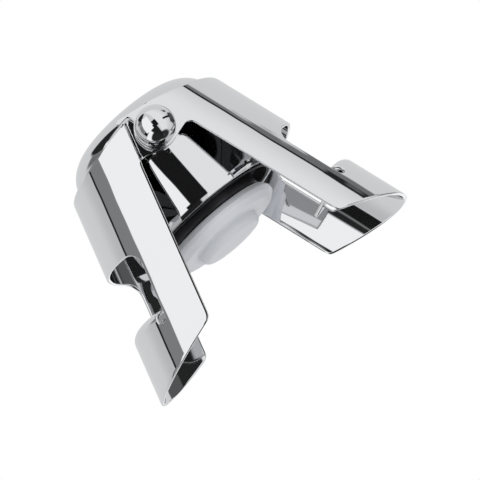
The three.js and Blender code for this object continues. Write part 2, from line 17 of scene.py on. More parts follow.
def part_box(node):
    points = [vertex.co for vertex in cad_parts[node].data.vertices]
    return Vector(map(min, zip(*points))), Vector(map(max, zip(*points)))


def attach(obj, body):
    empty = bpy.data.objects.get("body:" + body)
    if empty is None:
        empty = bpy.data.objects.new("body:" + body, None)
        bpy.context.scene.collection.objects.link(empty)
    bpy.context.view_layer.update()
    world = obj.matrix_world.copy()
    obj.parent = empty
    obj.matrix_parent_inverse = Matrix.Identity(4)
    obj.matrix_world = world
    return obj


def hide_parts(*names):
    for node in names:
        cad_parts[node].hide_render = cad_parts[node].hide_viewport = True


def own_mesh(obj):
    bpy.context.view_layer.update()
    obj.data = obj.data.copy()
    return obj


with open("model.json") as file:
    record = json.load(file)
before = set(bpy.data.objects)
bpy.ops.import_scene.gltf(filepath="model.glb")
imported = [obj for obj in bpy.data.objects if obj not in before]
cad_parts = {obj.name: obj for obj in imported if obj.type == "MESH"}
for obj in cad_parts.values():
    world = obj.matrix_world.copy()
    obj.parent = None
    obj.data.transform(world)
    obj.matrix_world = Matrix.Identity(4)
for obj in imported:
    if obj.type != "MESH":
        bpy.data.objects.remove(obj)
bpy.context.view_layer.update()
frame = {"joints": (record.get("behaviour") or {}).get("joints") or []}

MM = 0.001
scene = bpy.context.scene


# %% Sizes read off the working model, in millimetres
def box_mm(node):
    low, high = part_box(node)
    return np.array(low) / MM, np.array(high) / MM


def show_boxes(*pieces):
    """Print each piece's number of faces and its box in millimetres."""
    for piece in pieces:
        corners = np.array([v.co for v in piece.data.vertices]) / MM
        print(piece.name, len(piece.data.polygons), "faces, box:",
              corners.min(axis=0).round(2), corners.max(axis=0).round(2))


JOINTS = {joint["name"]: joint for joint in frame["joints"]}
OPEN = math.radians(JOINTS["right_lever_hinge"]["range_deg"][1])
PIVOT_HEIGHT = JOINTS["right_lever_hinge"]["pos_m"][2] / MM
CHEEK_REACH = -box_mm("right_arm")[0][1]
CUP_RADIUS = box_mm("body_shell")[1][0]
CUP_MOUTH = box_mm("body_shell")[0][2] - PIVOT_HEIGHT
CUP_TOP = box_mm("body_shell")[1][2] - PIVOT_HEIGHT
print("open angle", round(math.degrees(OPEN), 2), "pivot height", round(PIVOT_HEIGHT, 2))

# %% [markdown]
# The camera comes first. It stands low on the stopper's left, a long way off, and is rolled so
# that the stopper lies over to one side, as a photographer lays a small thing on a table.
# A long lens keeps the near lever from looking larger than the far one.

# %% Camera
CAMERA_PLACE = Vector((-137.88, -828.17, -120.66)) * MM
CAMERA_AIM = Vector((2.01, 4.14, 16.12)) * MM
CAMERA_ROLL = math.radians(-41.33)
CAMERA_LENS, CAMERA_SENSOR = 320.415, 36.0


def make_camera():
    data = bpy.data.cameras.new("camera")
    data.lens, data.sensor_width = CAMERA_LENS, CAMERA_SENSOR
    data.clip_start, data.clip_end = 0.05, 20.0
    camera = bpy.data.objects.new("camera", data)
    aim = (CAMERA_AIM - CAMERA_PLACE).to_track_quat("-Z", "Y")
    camera.rotation_mode = "QUATERNION"
    camera.rotation_quaternion = aim @ Quaternion((0, 0, 1), CAMERA_ROLL)
    camera.location = CAMERA_PLACE
    scene.collection.objects.link(camera)
    scene.camera = camera
    return camera


camera = make_camera()
print("camera right:", [round(v, 4) for v in camera.rotation_quaternion @ Vector((1, 0, 0))])

# %% [markdown]
# Each lever is one pressing. Seen along its length its section is half an oval that ends in two
# straight plates, the cheeks, which carry the eyes. The rear cheek is set inwards by one layer, so
# that the two levers can be the same part turned half round. Edge loops and a Bevel modifier could
# draw it, but chrome shows every facet. A table is easier to hold smooth: the path round the
# outside, in millimetres of metal from the middle of the back. It is drawn with corners and then
# blurred along the path, which gives every bend the same small radius.

# %% The lever's section
SHEET = 0.8
LAYER_STEP = 1.1
EDGE_OFFSET, CROWN_OFFSET = 5.3, 19.1
OVAL_OFFSET, OVAL_REACH, OVAL_POINTS = 1.0, 20.66, 4000
PLATE_OFFSET, PLATE_END, PLATE_TILT = 4.4, -8.0, math.tan(math.radians(2.0))
JOGGLE_START, JOGGLE_END = 5.2, 4.85
BACK_DEPTH, OVAL_DEPTH = CROWN_OFFSET - EDGE_OFFSET, CROWN_OFFSET - OVAL_OFFSET
PATH_STEP, BEND_BLUR, BLUR_REACH = 0.02, 0.1, 4


def run_along(line):
    """How far along the line each of its points lies."""
    return np.concatenate([[0], np.cumsum(np.linalg.norm(np.diff(line, axis=0), axis=1))])


def evenly(line, step):
    along = run_along(line)
    even = np.arange(0, along[-1], step)
    return np.column_stack([np.interp(even, along, line[:, axis]) for axis in (0, 1)])


def plate(across, reach):
    """A cheek leans in a little: how far out it stands, if it stands at reach by the pivots."""
    return reach - PLATE_TILT * across


def blurred(line):
    reach = int(BLUR_REACH * BEND_BLUR / PATH_STEP)
    kernel = np.exp(-0.5 * (np.arange(-reach, reach + 1) * PATH_STEP / BEND_BLUR) ** 2)
    kernel /= kernel.sum()
    return np.column_stack([np.convolve(line[:, axis], kernel, "valid") for axis in (0, 1)])


def section_table():
    """Path positions, and at each one the place across and back with the slopes of both."""
    first = math.asin((PLATE_OFFSET - OVAL_OFFSET) / OVAL_DEPTH)
    last = math.pi - math.asin((JOGGLE_START - OVAL_OFFSET) / OVAL_DEPTH)
    turn = np.linspace(first, last, OVAL_POINTS)
    rear = CHEEK_REACH - LAYER_STEP
    line = blurred(evenly(np.vstack([
        [(PLATE_END, -plate(PLATE_END, CHEEK_REACH))],
        np.column_stack([OVAL_OFFSET + OVAL_DEPTH * np.sin(turn), -OVAL_REACH * np.cos(turn)]),
        [(JOGGLE_END, plate(JOGGLE_END, rear)), (PLATE_END, plate(PLATE_END, rear))]]), PATH_STEP))
    along = run_along(line)
    along -= np.interp(0, line[:, 1], along)
    return along, np.column_stack([line, np.gradient(line, along, axis=0)])


PATH, TABLE = section_table()
print("metal round the section, mm:", round(PATH[-1] - PATH[0], 2))

# %% Ways to read the table
ON_ROUND = TABLE[:, 0] > EDGE_OFFSET


def path_from_across(across, rear):
    """Path position of a point seen from the side, on the front or the rear half."""
    side = PATH >= 0 if rear else PATH <= 0
    order = np.argsort(TABLE[side, 0], kind="stable")
    return np.interp(across, TABLE[side, 0][order], PATH[side][order])


def path_from_depth(depth):
    """Path position of a point on the back, seen from outside."""
    return np.interp(depth, TABLE[ON_ROUND, 1], PATH[ON_ROUND])


def across_at(path):
    return np.interp(path, PATH, TABLE[:, 0])


print("path at the cheeks' outer edges, mm:",
      [round(float(path_from_across(EDGE_OFFSET, rear)), 2) for rear in (False, True)])

# %% [markdown]
# The lever is laid out flat, as the press tool's maker would lay it out: how far round the
# section, how far along the lever. The outline, the window and the eye holes are drawn in that
# plane, and the tongue is part of it, cut out of the window and bent inwards afterwards. Working
# in the flat keeps the sheet one thickness everywhere, which a stack of cut solids would not.

# %% The lever's outline in the flat
TOP_RISE, TOP_FALL = 5.8, math.tan(math.radians(24.7))
EYE_RADIUS, EYE_FILLET, EYE_HOLE, EYE_START = 4.3, 1.4, 2.5, 105
EDGE_LENGTH, CROWN_LENGTH, EDGE_FILLET = 38.8, 47.4, 1.7
TIP_FALL = (CROWN_LENGTH - EDGE_LENGTH) / BACK_DEPTH
NOSE_REACH, NOSE_FOOT = 3.8, EYE_RADIUS * math.cos(math.radians(EYE_START))
NOSE_UNDER, NOSE_NARROW = [(-NOSE_REACH, 6.28), (NOSE_FOOT, 5.83)], 3.6
CORNER_CUT = 0.6


def arc(centre, radius, start, end, steps=24):
    turn = np.radians(np.linspace(start, end, steps))
    return np.column_stack([centre[0] + radius * np.cos(turn), centre[1] + radius * np.sin(turn)])


def top_edge(across):
    return TOP_RISE - TOP_FALL * across


def tip_edge(across):
    return -EDGE_LENGTH - TIP_FALL * (across - EDGE_OFFSET)


def level_run(start, end, height, step=0.5):
    """Points round the section whose height follows from how far across they are."""
    path = np.linspace(start, end, max(2, int(abs(end - start) / step)))
    return np.column_stack([path, height(across_at(path))])


def lever_side(rear):
    """One side of the outline, from the middle of the top edge to the middle of the tip."""
    corner = EDGE_FILLET * math.tan((math.pi / 2 - math.atan(TIP_FALL)) / 2)
    end = NOSE_FOOT if rear else -NOSE_REACH
    head = [(end + CORNER_CUT, top_edge(end + CORNER_CUT)), (end, top_edge(end) - CORNER_CUT)]
    head += [] if rear else NOSE_UNDER
    eye = arc((0, 0), EYE_RADIUS, EYE_START, 270)
    inside = arc((EDGE_OFFSET - EYE_FILLET, -EYE_RADIUS - EYE_FILLET), EYE_FILLET, 90, 0)
    foot = arc((EDGE_OFFSET + EDGE_FILLET, corner - EDGE_LENGTH), EDGE_FILLET,
               180, 270 - math.degrees(math.atan(TIP_FALL)))
    cheek = np.vstack([head, eye, inside, foot])
    cheek[:, 0] = path_from_across(cheek[:, 0], rear)
    return np.vstack([level_run(0, cheek[0, 0], top_edge), cheek[1:],
                      level_run(cheek[-1, 0], 0, tip_edge)[1:]])


def lever_outline():
    front, rear = lever_side(False), lever_side(True)
    return np.vstack([front, rear[::-1][1:-1]])


print("points in the drawn outline:", len(lever_outline()))

# %% The window and its tongue in the flat
WINDOW_TOP, WINDOW_HALF, WINDOW_CORNER = -20.0, 15.6, 3.0
RELIEF_RADIUS, TONGUE_HALF, TONGUE_TIP, TONGUE_POINTS = 0.9, 13.8, 10.6, 61
BEND_FOOT, BEND_RADIUS = -34.4, 2.0
BEND_RUN = BEND_RADIUS * math.pi / 2
CLAW_RADIUS, FLARE_SHARE, HORN_END = 14.2, 0.85, 8.7


def tongue_end():
    """Half of the tongue's free end: an arc round the bottle's neck that flares at the sides."""
    path = path_from_depth(np.linspace(TONGUE_HALF, 0, TONGUE_POINTS))
    depth = np.interp(path, PATH, TABLE[:, 1])
    bend_across = across_at(path) - BEND_RADIUS
    flare = np.maximum(depth - TONGUE_TIP, 0) / (TONGUE_HALF - TONGUE_TIP) * FLARE_SHARE
    end = EDGE_OFFSET + flare * (bend_across - EDGE_OFFSET)
    end = np.maximum(end, np.sqrt(np.maximum(CLAW_RADIUS ** 2 - depth ** 2, HORN_END ** 2)))
    return np.column_stack([path, BEND_FOOT + BEND_RUN + bend_across - end])


def window_outline():
    middle = WINDOW_HALF - WINDOW_CORNER
    half = np.vstack([
        arc((middle, WINDOW_TOP - WINDOW_CORNER), WINDOW_CORNER, 90, 0),
        arc((TONGUE_HALF + RELIEF_RADIUS, BEND_FOOT), RELIEF_RADIUS, 0, -180)])
    half[:, 0] = path_from_depth(half[:, 0])
    half = np.vstack([half, tongue_end()])
    return np.vstack([half, (half * [-1, 1])[::-1][1:]])


print("points in the drawn window:", len(window_outline()))

# %% [markdown]
# A pressed and polished part has no sharp corner. A Bevel modifier would round the rim, but it
# can't make the rounding narrower in tight bends, where wide rims would cross themselves. So each
# drawn loop is blurred as the section was, thinned to the points that its bends need, and given
# its own width of rounding at each point.

# %% Ease the loops
CORNER_EASE, FINE_STEP = 0.4, 0.04
MOST_TURN, MOST_RUN = math.radians(10.0), 0.7
RIM_LEAST, RIM_ROUND, WINDOW_ROUND, RIM_DEPTH = 0.2, 0.45, 0.26, 0.4
BEND_SHARE, ROOM_REACH = 0.8, 1.0


def eased_loop(outline):
    """The closed outline as close, even points, blurred round all its corners."""
    closed = np.vstack([outline, outline[:1]])
    along = run_along(closed)
    count = int(along[-1] / FINE_STEP)
    even = np.linspace(0, along[-1], count, endpoint=False)
    dense = np.column_stack([np.interp(even, along, closed[:, axis]) for axis in (0, 1)])
    wave = np.fft.fftfreq(count, d=along[-1] / count)
    blur = np.exp(-2 * (math.pi * wave * CORNER_EASE) ** 2)[:, None]
    return np.real(np.fft.ifft(np.fft.fft(dense, axis=0) * blur, axis=0))


def needed_points(heading):
    """The points to keep: those where the loop has turned or run on since the last one."""
    kept = [0]
    for i in range(1, len(heading)):
        turned_by, passed = abs(heading[i] - heading[kept[-1]]), i - kept[-1]
        if turned_by > MOST_TURN or passed * FINE_STEP > MOST_RUN:
            kept.append(i)
    return kept


def rim_room(dense, step, heading, most):
    """How wide the rim may be rounded at each point, eased from one width to the next."""
    length = np.linalg.norm(step, axis=1)
    bend = (np.roll(heading, -1) - np.roll(heading, 1)) / (length + np.roll(length, 1))
    bend[[0, -1]] = bend[[1, -2]]
    room = np.clip(BEND_SHARE / np.maximum(bend, 1e-6), RIM_LEAST, most)
    room[dense[:, 1] > NOSE_NARROW] = RIM_LEAST
    near = int(ROOM_REACH / FINE_STEP)
    least = np.min([np.roll(room, shift) for shift in range(-near, near + 1)], axis=0)
    return np.mean([np.roll(least, shift) for shift in range(-near // 2, near // 2 + 1)], axis=0)


def softened(outline, most):
    """The eased loop's points, its outward direction, and its width of rounding."""
    dense = eased_loop(outline)
    step = np.roll(dense, -1, axis=0) - dense
    heading = np.unwrap(np.arctan2(step[:, 1], step[:, 0]))
    tangent = np.roll(dense, -1, axis=0) - np.roll(dense, 1, axis=0)
    tangent /= np.linalg.norm(tangent, axis=1)[:, None]
    outward = np.column_stack([tangent[:, 1], -tangent[:, 0]])
    kept = needed_points(heading)
    return dense[kept], outward[kept], rim_room(dense, step, heading, most)[kept]


def eye_hole(rear):
    hole = arc((0, 0), EYE_HOLE, 360, 0, 49)[:-1]
    outward = -hole / EYE_HOLE
    hole[:, 0] = path_from_across(hole[:, 0], rear)
    return hole, outward * ([-1, 1] if rear else [1, 1]), np.full(len(hole), RIM_LEAST)


LOOPS = [softened(lever_outline(), RIM_ROUND), softened(window_outline(), WINDOW_ROUND),
         eye_hole(False), tuple(part[::-1] for part in eye_hole(True))]
print("points round the lever's edges:", [len(loop[0]) for loop in LOOPS])

# %% [markdown]
# Now the flat sheet is folded up. Each point's place and its normal come from the section's table,
# so reflections run over the lever without a ripple, however the triangles lie. The rim is a row
# of narrow strips from the outer face to the inner one: half round where the sheet was cut, and
# rolled gently inwards along the lever's own edge, as polishing wears it.

# %% The rim's rows, and how a point is folded
TONGUE_SPARE, TONGUE_MARGIN, TONGUE_BELOW = 0.01, 0.3, 1


def rounded_rim(angles):
    """Rows of a half-round rim: share of the rounding, depth, and which way the profile runs."""
    return [(math.sin(a), RIM_DEPTH * (1 - math.cos(a)), math.cos(a), RIM_DEPTH * math.sin(a))
            for a in map(math.radians, angles)]


CUT_RIM = rounded_rim((22.5, 45, 67.5, 90, 112.5, 135, 157.5))
ROLLED_RIM = [
    (0.05, 0.001, 1, 0.032), (0.40, 0.021, 1, 0.08), (0.72, 0.055, 1, 0.13),
    (0.90, 0.10, 1, 0.38), (0.98, 0.16, 0.4, 0.45), *rounded_rim((90, 112.5, 135, 157.5))]


def folded(flat, depth):
    """Place and outward normal of points in the flat, so deep under the outer face."""
    path, along = flat[:, 0], flat[:, 1]
    across, back, tx, ty = (np.interp(path, PATH, column) for column in TABLE.T)
    scale = np.hypot(tx, ty)
    tx, ty = tx / scale, ty / scale
    place = np.column_stack([across, back, along])
    normal = np.column_stack([ty, -tx, np.zeros_like(tx)])
    between = (np.abs(back) < TONGUE_HALF + TONGUE_SPARE) & (along < WINDOW_TOP - TONGUE_BELOW)
    rise = np.where(between, along - BEND_FOOT, 0)
    bent = (rise > 0) & (np.abs(path) < path_from_depth(TONGUE_HALF) + TONGUE_MARGIN)
    turn = np.clip(rise[bent] / BEND_RADIUS, 0, math.pi / 2)
    beyond = np.maximum(rise[bent] - BEND_RUN, 0)
    place[bent, 0] += BEND_RADIUS * (np.cos(turn) - 1) - beyond
    place[bent, 2] = BEND_FOOT + BEND_RADIUS * np.sin(turn)
    normal[bent] = np.column_stack([
        ty[bent] * np.cos(turn), -tx[bent] * np.cos(turn), ty[bent] * np.sin(turn)])
    normal /= np.linalg.norm(normal, axis=1)[:, None]
    return place - normal * np.reshape(depth, (-1, 1)), normal


print("rows in the rims:", len(ROLLED_RIM), len(CUT_RIM))

# %% Points over the sheet
SPREAD_STEP, ROW_STEP = 1.0, 0.6
JOGGLE_MARGIN, JOGGLE_STEP = 0.4, 0.05
CREASE_MARGIN, BEND_POINTS = 0.8, 13
TONGUE_COLUMNS, TONGUE_INSET, RIM_CLEAR = 23, 0.6, 0.3


def inside(points, loops):
    """True where a point lies on metal: inside an odd number of the loops."""
    hit = np.zeros(len(points), bool)
    for loop in loops:
        for (x0, y0), (x1, y1) in zip(loop, np.roll(loop, -1, axis=0)):
            crosses = (y0 > points[:, 1]) != (y1 > points[:, 1])
            edge = x0 + (points[:, 1] - y0) * (x1 - x0) / (y1 - y0 or 1)
            hit ^= crosses & (points[:, 0] < edge)
    return hit


def grid(paths, alongs):
    return np.stack(np.meshgrid(paths, alongs), -1).reshape(-1, 2)


def filling():
    """Points over the sheet, closer together in the rear eye's step and in the tongue's bend."""
    loops = [loop for loop, _, _ in LOOPS]
    low, high = loops[0].min(axis=0), loops[0].max(axis=0)
    rows = np.arange(-EYE_RADIUS - EYE_FILLET, TOP_RISE, ROW_STEP)
    joggle = path_from_across(
        np.array([JOGGLE_END - JOGGLE_MARGIN, JOGGLE_START + JOGGLE_MARGIN]), True)
    crease = path_from_across(np.linspace(
        PLATE_OFFSET - CREASE_MARGIN, PLATE_OFFSET + CREASE_MARGIN, BEND_POINTS), False)
    half = path_from_depth(TONGUE_HALF) - TONGUE_INSET
    points = np.vstack([
        grid(np.arange(low[0], high[0], SPREAD_STEP), np.arange(low[1], high[1], SPREAD_STEP)),
        grid(np.arange(joggle[1], joggle[0], JOGGLE_STEP), rows),
        grid(crease, rows),
        grid(np.linspace(-half, half, TONGUE_COLUMNS),
             np.linspace(BEND_FOOT, BEND_FOOT + BEND_RUN, BEND_POINTS))])
    edges = np.vstack(loops)
    near = np.array([np.min(np.sum((edges - point) ** 2, axis=1)) for point in points])
    return points[inside(points, loops) & (near > (RIM_ROUND + RIM_CLEAR) ** 2)]


# %% [markdown]
# A triangulation that keeps given edges fills the flat between the loops. Both faces of the sheet
# take the same triangles, one set turned over, and rings of four-sided faces close the rims.

# %% Fill the sheet and fold it
NUDGE = 0.02


def sheet_triangles(inset, flat):
    ring_edges, start = [], 0
    for loop in inset:
        ring_edges += [(start + i, start + (i + 1) % len(loop)) for i in range(len(loop))]
        start += len(loop)
    found = delaunay_2d_cdt([Vector(p) for p in flat], ring_edges, [], 0, 1e-6, False)
    if len(found[0]) != len(flat):
        raise ValueError("the flat outline crosses itself")
    faces = np.array(found[2])
    return faces[inside(flat[faces].mean(axis=1), inset)]


def rim_row(loop, outward, rounding, row):
    """Places and normals of one row of the rim, all round the loop."""
    share, depth, level, down = row
    point = loop - outward * rounding * (1 - share)
    place, up = folded(point, depth)
    ahead, _ = folded(point + outward * NUDGE, depth)
    side = (ahead - place) / NUDGE
    side -= up * np.sum(side * up, axis=1)[:, None]
    side /= np.linalg.norm(side, axis=1)[:, None]
    slope = up * level * rounding + side * down
    return place, slope / np.linalg.norm(slope, axis=1)[:, None]


def ring_faces(rings):
    """Four-sided faces between each ring of points and the next."""
    count = len(rings[0])
    return [(near[(i + 1) % count], near[i], far[i], far[(i + 1) % count])
            for near, far in zip(rings, rings[1:]) for i in range(count)]


def lever_mesh():
    inset = [loop - outward * rounding[:, None] for loop, outward, rounding in LOOPS]
    flat = np.vstack([*inset, filling()])
    triangles = sheet_triangles(inset, flat)
    outer, normal = folded(flat, 0.0)
    inner, _ = folded(flat, SHEET)
    places, normals = [outer, inner], [normal, -normal]
    faces = [tuple(face) for face in triangles]
    faces += [tuple(face[::-1] + len(flat)) for face in triangles]
    base, first = 2 * len(flat), 0
    for (loop, outward, rounding), rim in zip(LOOPS, (ROLLED_RIM, CUT_RIM, CUT_RIM, CUT_RIM)):
        count = len(loop)
        rings = [range(first, first + count)]
        for row in rim:
            place, slope = rim_row(loop, outward, rounding[:, None], row)
            places.append(place)
            normals.append(slope)
            rings.append(range(base, base + count))
            base += count
        rings.append([i + len(flat) for i in rings[0]])
        faces += ring_faces(rings)
        first += count
    return np.vstack(places), faces, np.vstack(normals)


LEVER = lever_mesh()
print("lever points and faces:", len(LEVER[0]), len(LEVER[1]))

# %% [markdown]
# The same folded lever hangs on both sides, the second turned half round the stopper's axis. Its
# normals are kept as custom normals, because the ones that Blender would average from the faces
# bend towards the narrow strips of the rim.


# %% Hang the two levers
def smooth_object(name, places, faces, normals):
    mesh = bpy.data.meshes.new(name)
    mesh.from_pydata([tuple(place * MM) for place in places], [],
                     [tuple(int(i) for i in face) for face in faces])
    mesh.shade_smooth()
    mesh.update()
    mesh.normals_split_custom_set_from_vertices([tuple(normal) for normal in normals])
    thing = bpy.data.objects.new(name, mesh)
    scene.collection.objects.link(thing)
    return thing


def hung(half_turns):
    places, faces, normals = LEVER
    turn = Matrix.Rotation(half_turns * math.pi, 3, "Z") @ Matrix.Rotation(-OPEN, 3, "Y")
    turn = np.array(turn)
    return places @ turn.T + [0, 0, PIVOT_HEIGHT], faces, normals @ turn.T


right_lever = smooth_object("right_lever_pressing", *hung(0))
left_lever = smooth_object("left_lever_pressing", *hung(1))
show_boxes(right_lever, left_lever)

# %% [markdown]
# Nearly everything else is turned or drawn round an axis: cup, washers, rivets, seal, dish. One
# Geometry Nodes tree makes them all. It bends a grid round the axis, one column of the grid for
# each step of the turn, and reads each row's radius and height from a profile. The Screw modifier
# would do too, but the tree also lays the pivots over and copies them to the other side.


# %% Helpers for node trees
def add(tree, kind, links=None, **settings):
    """A node with its settings, and its inputs joined to sockets or set to values."""
    node = tree.nodes.new(kind)
    for name, value in settings.items():
        setattr(node, name, value)
    for key, value in (links or {}).items():
        if isinstance(value, bpy.types.NodeSocket):
            tree.links.new(value, node.inputs[key])
        else:
            node.inputs[key].default_value = value
    return node


def maths(tree, operation, first, second):
    return add(tree, "ShaderNodeMath", {0: first, 1: second}, operation=operation).outputs[0]


def vector(tree, **parts):
    return add(tree, "ShaderNodeCombineXYZ", parts).outputs[0]


def named_inputs(tree, wanted):
    tree.interface.new_socket("Geometry", in_out="OUTPUT", socket_type="NodeSocketGeometry")
    for name, kind in wanted:
        tree.interface.new_socket(name, in_out="INPUT", socket_type="NodeSocket" + kind)
    return tree.nodes.new("NodeGroupInput").outputs


def finish_tree(tree, geometry, material):
    real = add(tree, "GeometryNodeRealizeInstances", {"Geometry": geometry})
    smooth = add(tree, "GeometryNodeSetShadeSmooth", {"Geometry": real.outputs[0]})
    painted = add(tree, "GeometryNodeSetMaterial", {
        "Geometry": smooth.outputs[0], "Material": material})
    tree.links.new(painted.outputs[0], tree.nodes.new("NodeGroupOutput").inputs[0])


# %% The tree for turned pieces
def bent_grid(tree, given, index):
    """A grid whose rows follow the profile and whose columns go round the axis."""
    columns = maths(tree, "ADD", given["Steps"], 1.0)
    flat = add(tree, "GeometryNodeMeshGrid", {
        "Vertices X": columns, "Vertices Y": given["Points"]})
    row = maths(tree, "FLOORED_MODULO", index, given["Points"])
    share = maths(tree, "DIVIDE", maths(tree, "ADD", index, 0.5), given["Points"])
    column = maths(tree, "FLOOR", share, 0.0)
    angle = maths(tree, "MULTIPLY", maths(tree, "DIVIDE", column, given["Steps"]), math.tau)
    place = tree.nodes.new("GeometryNodeInputPosition").outputs[0]
    profile = add(tree, "GeometryNodeSampleIndex", {
        "Geometry": given["Profile"], "Value": place, "Index": row}, data_type="FLOAT_VECTOR")
    turn = add(tree, "ShaderNodeVectorRotate", {"Vector": profile.outputs[0], "Angle": angle},
               rotation_type="Z_AXIS")
    bent = add(tree, "GeometryNodeSetPosition", {
        "Geometry": flat.outputs[0], "Position": turn.outputs[0]})
    return add(tree, "GeometryNodeMergeByDistance", {
        "Geometry": bent.outputs[0], "Distance": 1e-7}).outputs[0]


def turned_tree():
    tree = bpy.data.node_groups.new("turned piece", "GeometryNodeTree")
    given = named_inputs(tree, [
        ("Profile", "Geometry"), ("Points", "Int"), ("Steps", "Int"), ("Lay Over", "Float"),
        ("Copies", "Int"), ("Raise", "Float"), ("Material", "Material")])
    index = tree.nodes.new("GeometryNodeInputIndex").outputs[0]
    laid = add(tree, "GeometryNodeTransform", {
        "Geometry": bent_grid(tree, given, index), "Rotation": vector(tree, X=given["Lay Over"])})
    spots = add(tree, "GeometryNodeMeshLine", {"Count": given["Copies"], "Offset": (0, 0, 0)})
    copies = add(tree, "GeometryNodeInstanceOnPoints", {
        "Points": spots.outputs[0], "Instance": laid.outputs[0],
        "Rotation": vector(tree, Z=maths(tree, "MULTIPLY", index, math.pi))})
    raised = add(tree, "GeometryNodeTransform", {
        "Geometry": copies.outputs[0], "Translation": vector(tree, Z=given["Raise"])})
    finish_tree(tree, raised.outputs[0], given["Material"])
    return tree


def run_tree(name, tree, values, mesh):
    """A plain mesh object from a tree: inputs set by their identifiers, then the result kept."""
    thing = bpy.data.objects.new(name, mesh)
    scene.collection.objects.link(thing)
    modifier = thing.modifiers.new("tree", "NODES")
    modifier.node_group = tree
    for item in tree.interface.items_tree:
        if item.in_out == "INPUT" and item.name in values:
            modifier[item.identifier] = values[item.name]
    view = bpy.context.evaluated_depsgraph_get()
    view.update()
    result = bpy.data.meshes.new_from_object(thing.evaluated_get(view))
    thing.modifiers.clear()
    thing.data = result
    result.name = name
    return thing


TURNED = turned_tree()
print("turned piece tree:", len(TURNED.nodes), "nodes")

# %% [markdown]
# Five finishes: polished chrome on what shows, zinc plate on what is hidden, drawn spring wire,
# steel coloured near black round the seal, and white silicone. None is one flat colour. The metals
# share a group that clouds the polish a little and lays fine wiping marks over it, because even a
# clean plate isn't perfect. The chrome also gets a slow swell, so that long reflections waver as
# they do in pressed sheet.


# %% The group that the metals share
def about_zero(tree, noise):
    """The noise, which lies about one half, shifted to lie about zero."""
    return maths(tree, "SUBTRACT", noise.outputs[0], 0.5)


def wear_group():
    tree = bpy.data.node_groups.new("polish and wiping marks", "ShaderNodeTree")
    for name in ("Polish", "Cloud", "Marks", "Ripple"):
        tree.interface.new_socket(name, in_out="INPUT", socket_type="NodeSocketFloat")
    for name in ("Roughness", "Height"):
        tree.interface.new_socket(name, in_out="OUTPUT", socket_type="NodeSocketFloat")
    given = tree.nodes.new("NodeGroupInput").outputs
    place = tree.nodes.new("ShaderNodeTexCoord").outputs["Object"]
    cloud = add(tree, "ShaderNodeTexNoise", {"Vector": place, "Scale": 90.0, "Detail": 4.0})
    stretched = add(tree, "ShaderNodeMapping", {
        "Vector": place, "Rotation": (0.4, 0.9, 0.3), "Scale": (5200.0, 260.0, 5200.0)})
    hair = add(tree, "ShaderNodeTexNoise", {
        "Vector": stretched.outputs[0], "Scale": 1.0, "Detail": 2.0})
    swell = add(tree, "ShaderNodeTexNoise", {"Vector": place, "Scale": 150.0, "Detail": 0.0})
    clouded = maths(tree, "MULTIPLY", about_zero(tree, cloud), given["Cloud"])
    marked = maths(tree, "MULTIPLY", about_zero(tree, hair), given["Marks"])
    rough = maths(tree, "ADD", given["Polish"], maths(tree, "ADD", clouded, marked))
    swollen = maths(tree, "MULTIPLY", swell.outputs[0], given["Ripple"])
    out = tree.nodes.new("NodeGroupOutput")
    tree.links.new(maths(tree, "MAXIMUM", rough, 0.01), out.inputs["Roughness"])
    tree.links.new(maths(tree, "ADD", marked, swollen), out.inputs["Height"])
    return tree


WEAR = wear_group()
print("polish group:", len(WEAR.nodes), "nodes")


# %% Materials
def surface(name, **constants):
    material = bpy.data.materials.new(name)
    material.use_nodes = True
    shader = material.node_tree.nodes["Principled BSDF"]
    for key, value in constants.items():
        shader.inputs[key.replace("_", " ")].default_value = value
    return material, material.node_tree, shader


def mottled(tree, noise, dark, light):
    """A colour that drifts between two others as the noise says."""
    return add(tree, "ShaderNodeMix", {0: noise.outputs[0], 6: (*dark, 1), 7: (*light, 1)},
               data_type="RGBA").outputs[2]


def metal(name, colour, polish, cloud, marks, depth, ripple=0.0):
    material, tree, shader = surface(name, Metallic=1.0)
    wear = add(tree, "ShaderNodeGroup", {
        "Polish": polish, "Cloud": cloud, "Marks": marks, "Ripple": ripple}, node_tree=WEAR)
    bump = add(tree, "ShaderNodeBump", {
        "Height": wear.outputs["Height"], "Strength": 0.2, "Distance": depth})
    place = tree.nodes.new("ShaderNodeTexCoord").outputs["Object"]
    tint = add(tree, "ShaderNodeTexNoise", {"Vector": place, "Scale": 60.0, "Detail": 2.0})
    shade = mottled(tree, tint, [c * 0.97 for c in colour], colour)
    tree.links.new(shade, shader.inputs["Base Color"])
    tree.links.new(wear.outputs["Roughness"], shader.inputs["Roughness"])
    tree.links.new(bump.outputs[0], shader.inputs["Normal"])
    return material


def silicone():
    material, tree, shader = surface(
        "white silicone", Subsurface_Weight=0.25, Subsurface_Scale=0.002,
        Subsurface_Radius=(1.0, 0.9, 0.8), IOR=1.41)
    place = tree.nodes.new("ShaderNodeTexCoord").outputs["Object"]
    cloud = add(tree, "ShaderNodeTexNoise", {"Vector": place, "Scale": 120.0, "Detail": 3.0})
    grain = add(tree, "ShaderNodeTexNoise", {"Vector": place, "Scale": 5000.0, "Detail": 1.0})
    shade = mottled(tree, cloud, (0.80, 0.815, 0.85), (0.86, 0.87, 0.89))
    rough = add(tree, "ShaderNodeMapRange", {
        "Value": cloud.outputs[0], "To Min": 0.38, "To Max": 0.52})
    bump = add(tree, "ShaderNodeBump", {
        "Height": grain.outputs[0], "Strength": 0.15, "Distance": 2e-5})
    tree.links.new(shade, shader.inputs["Base Color"])
    tree.links.new(rough.outputs[0], shader.inputs["Roughness"])
    tree.links.new(bump.outputs[0], shader.inputs["Normal"])
    return material


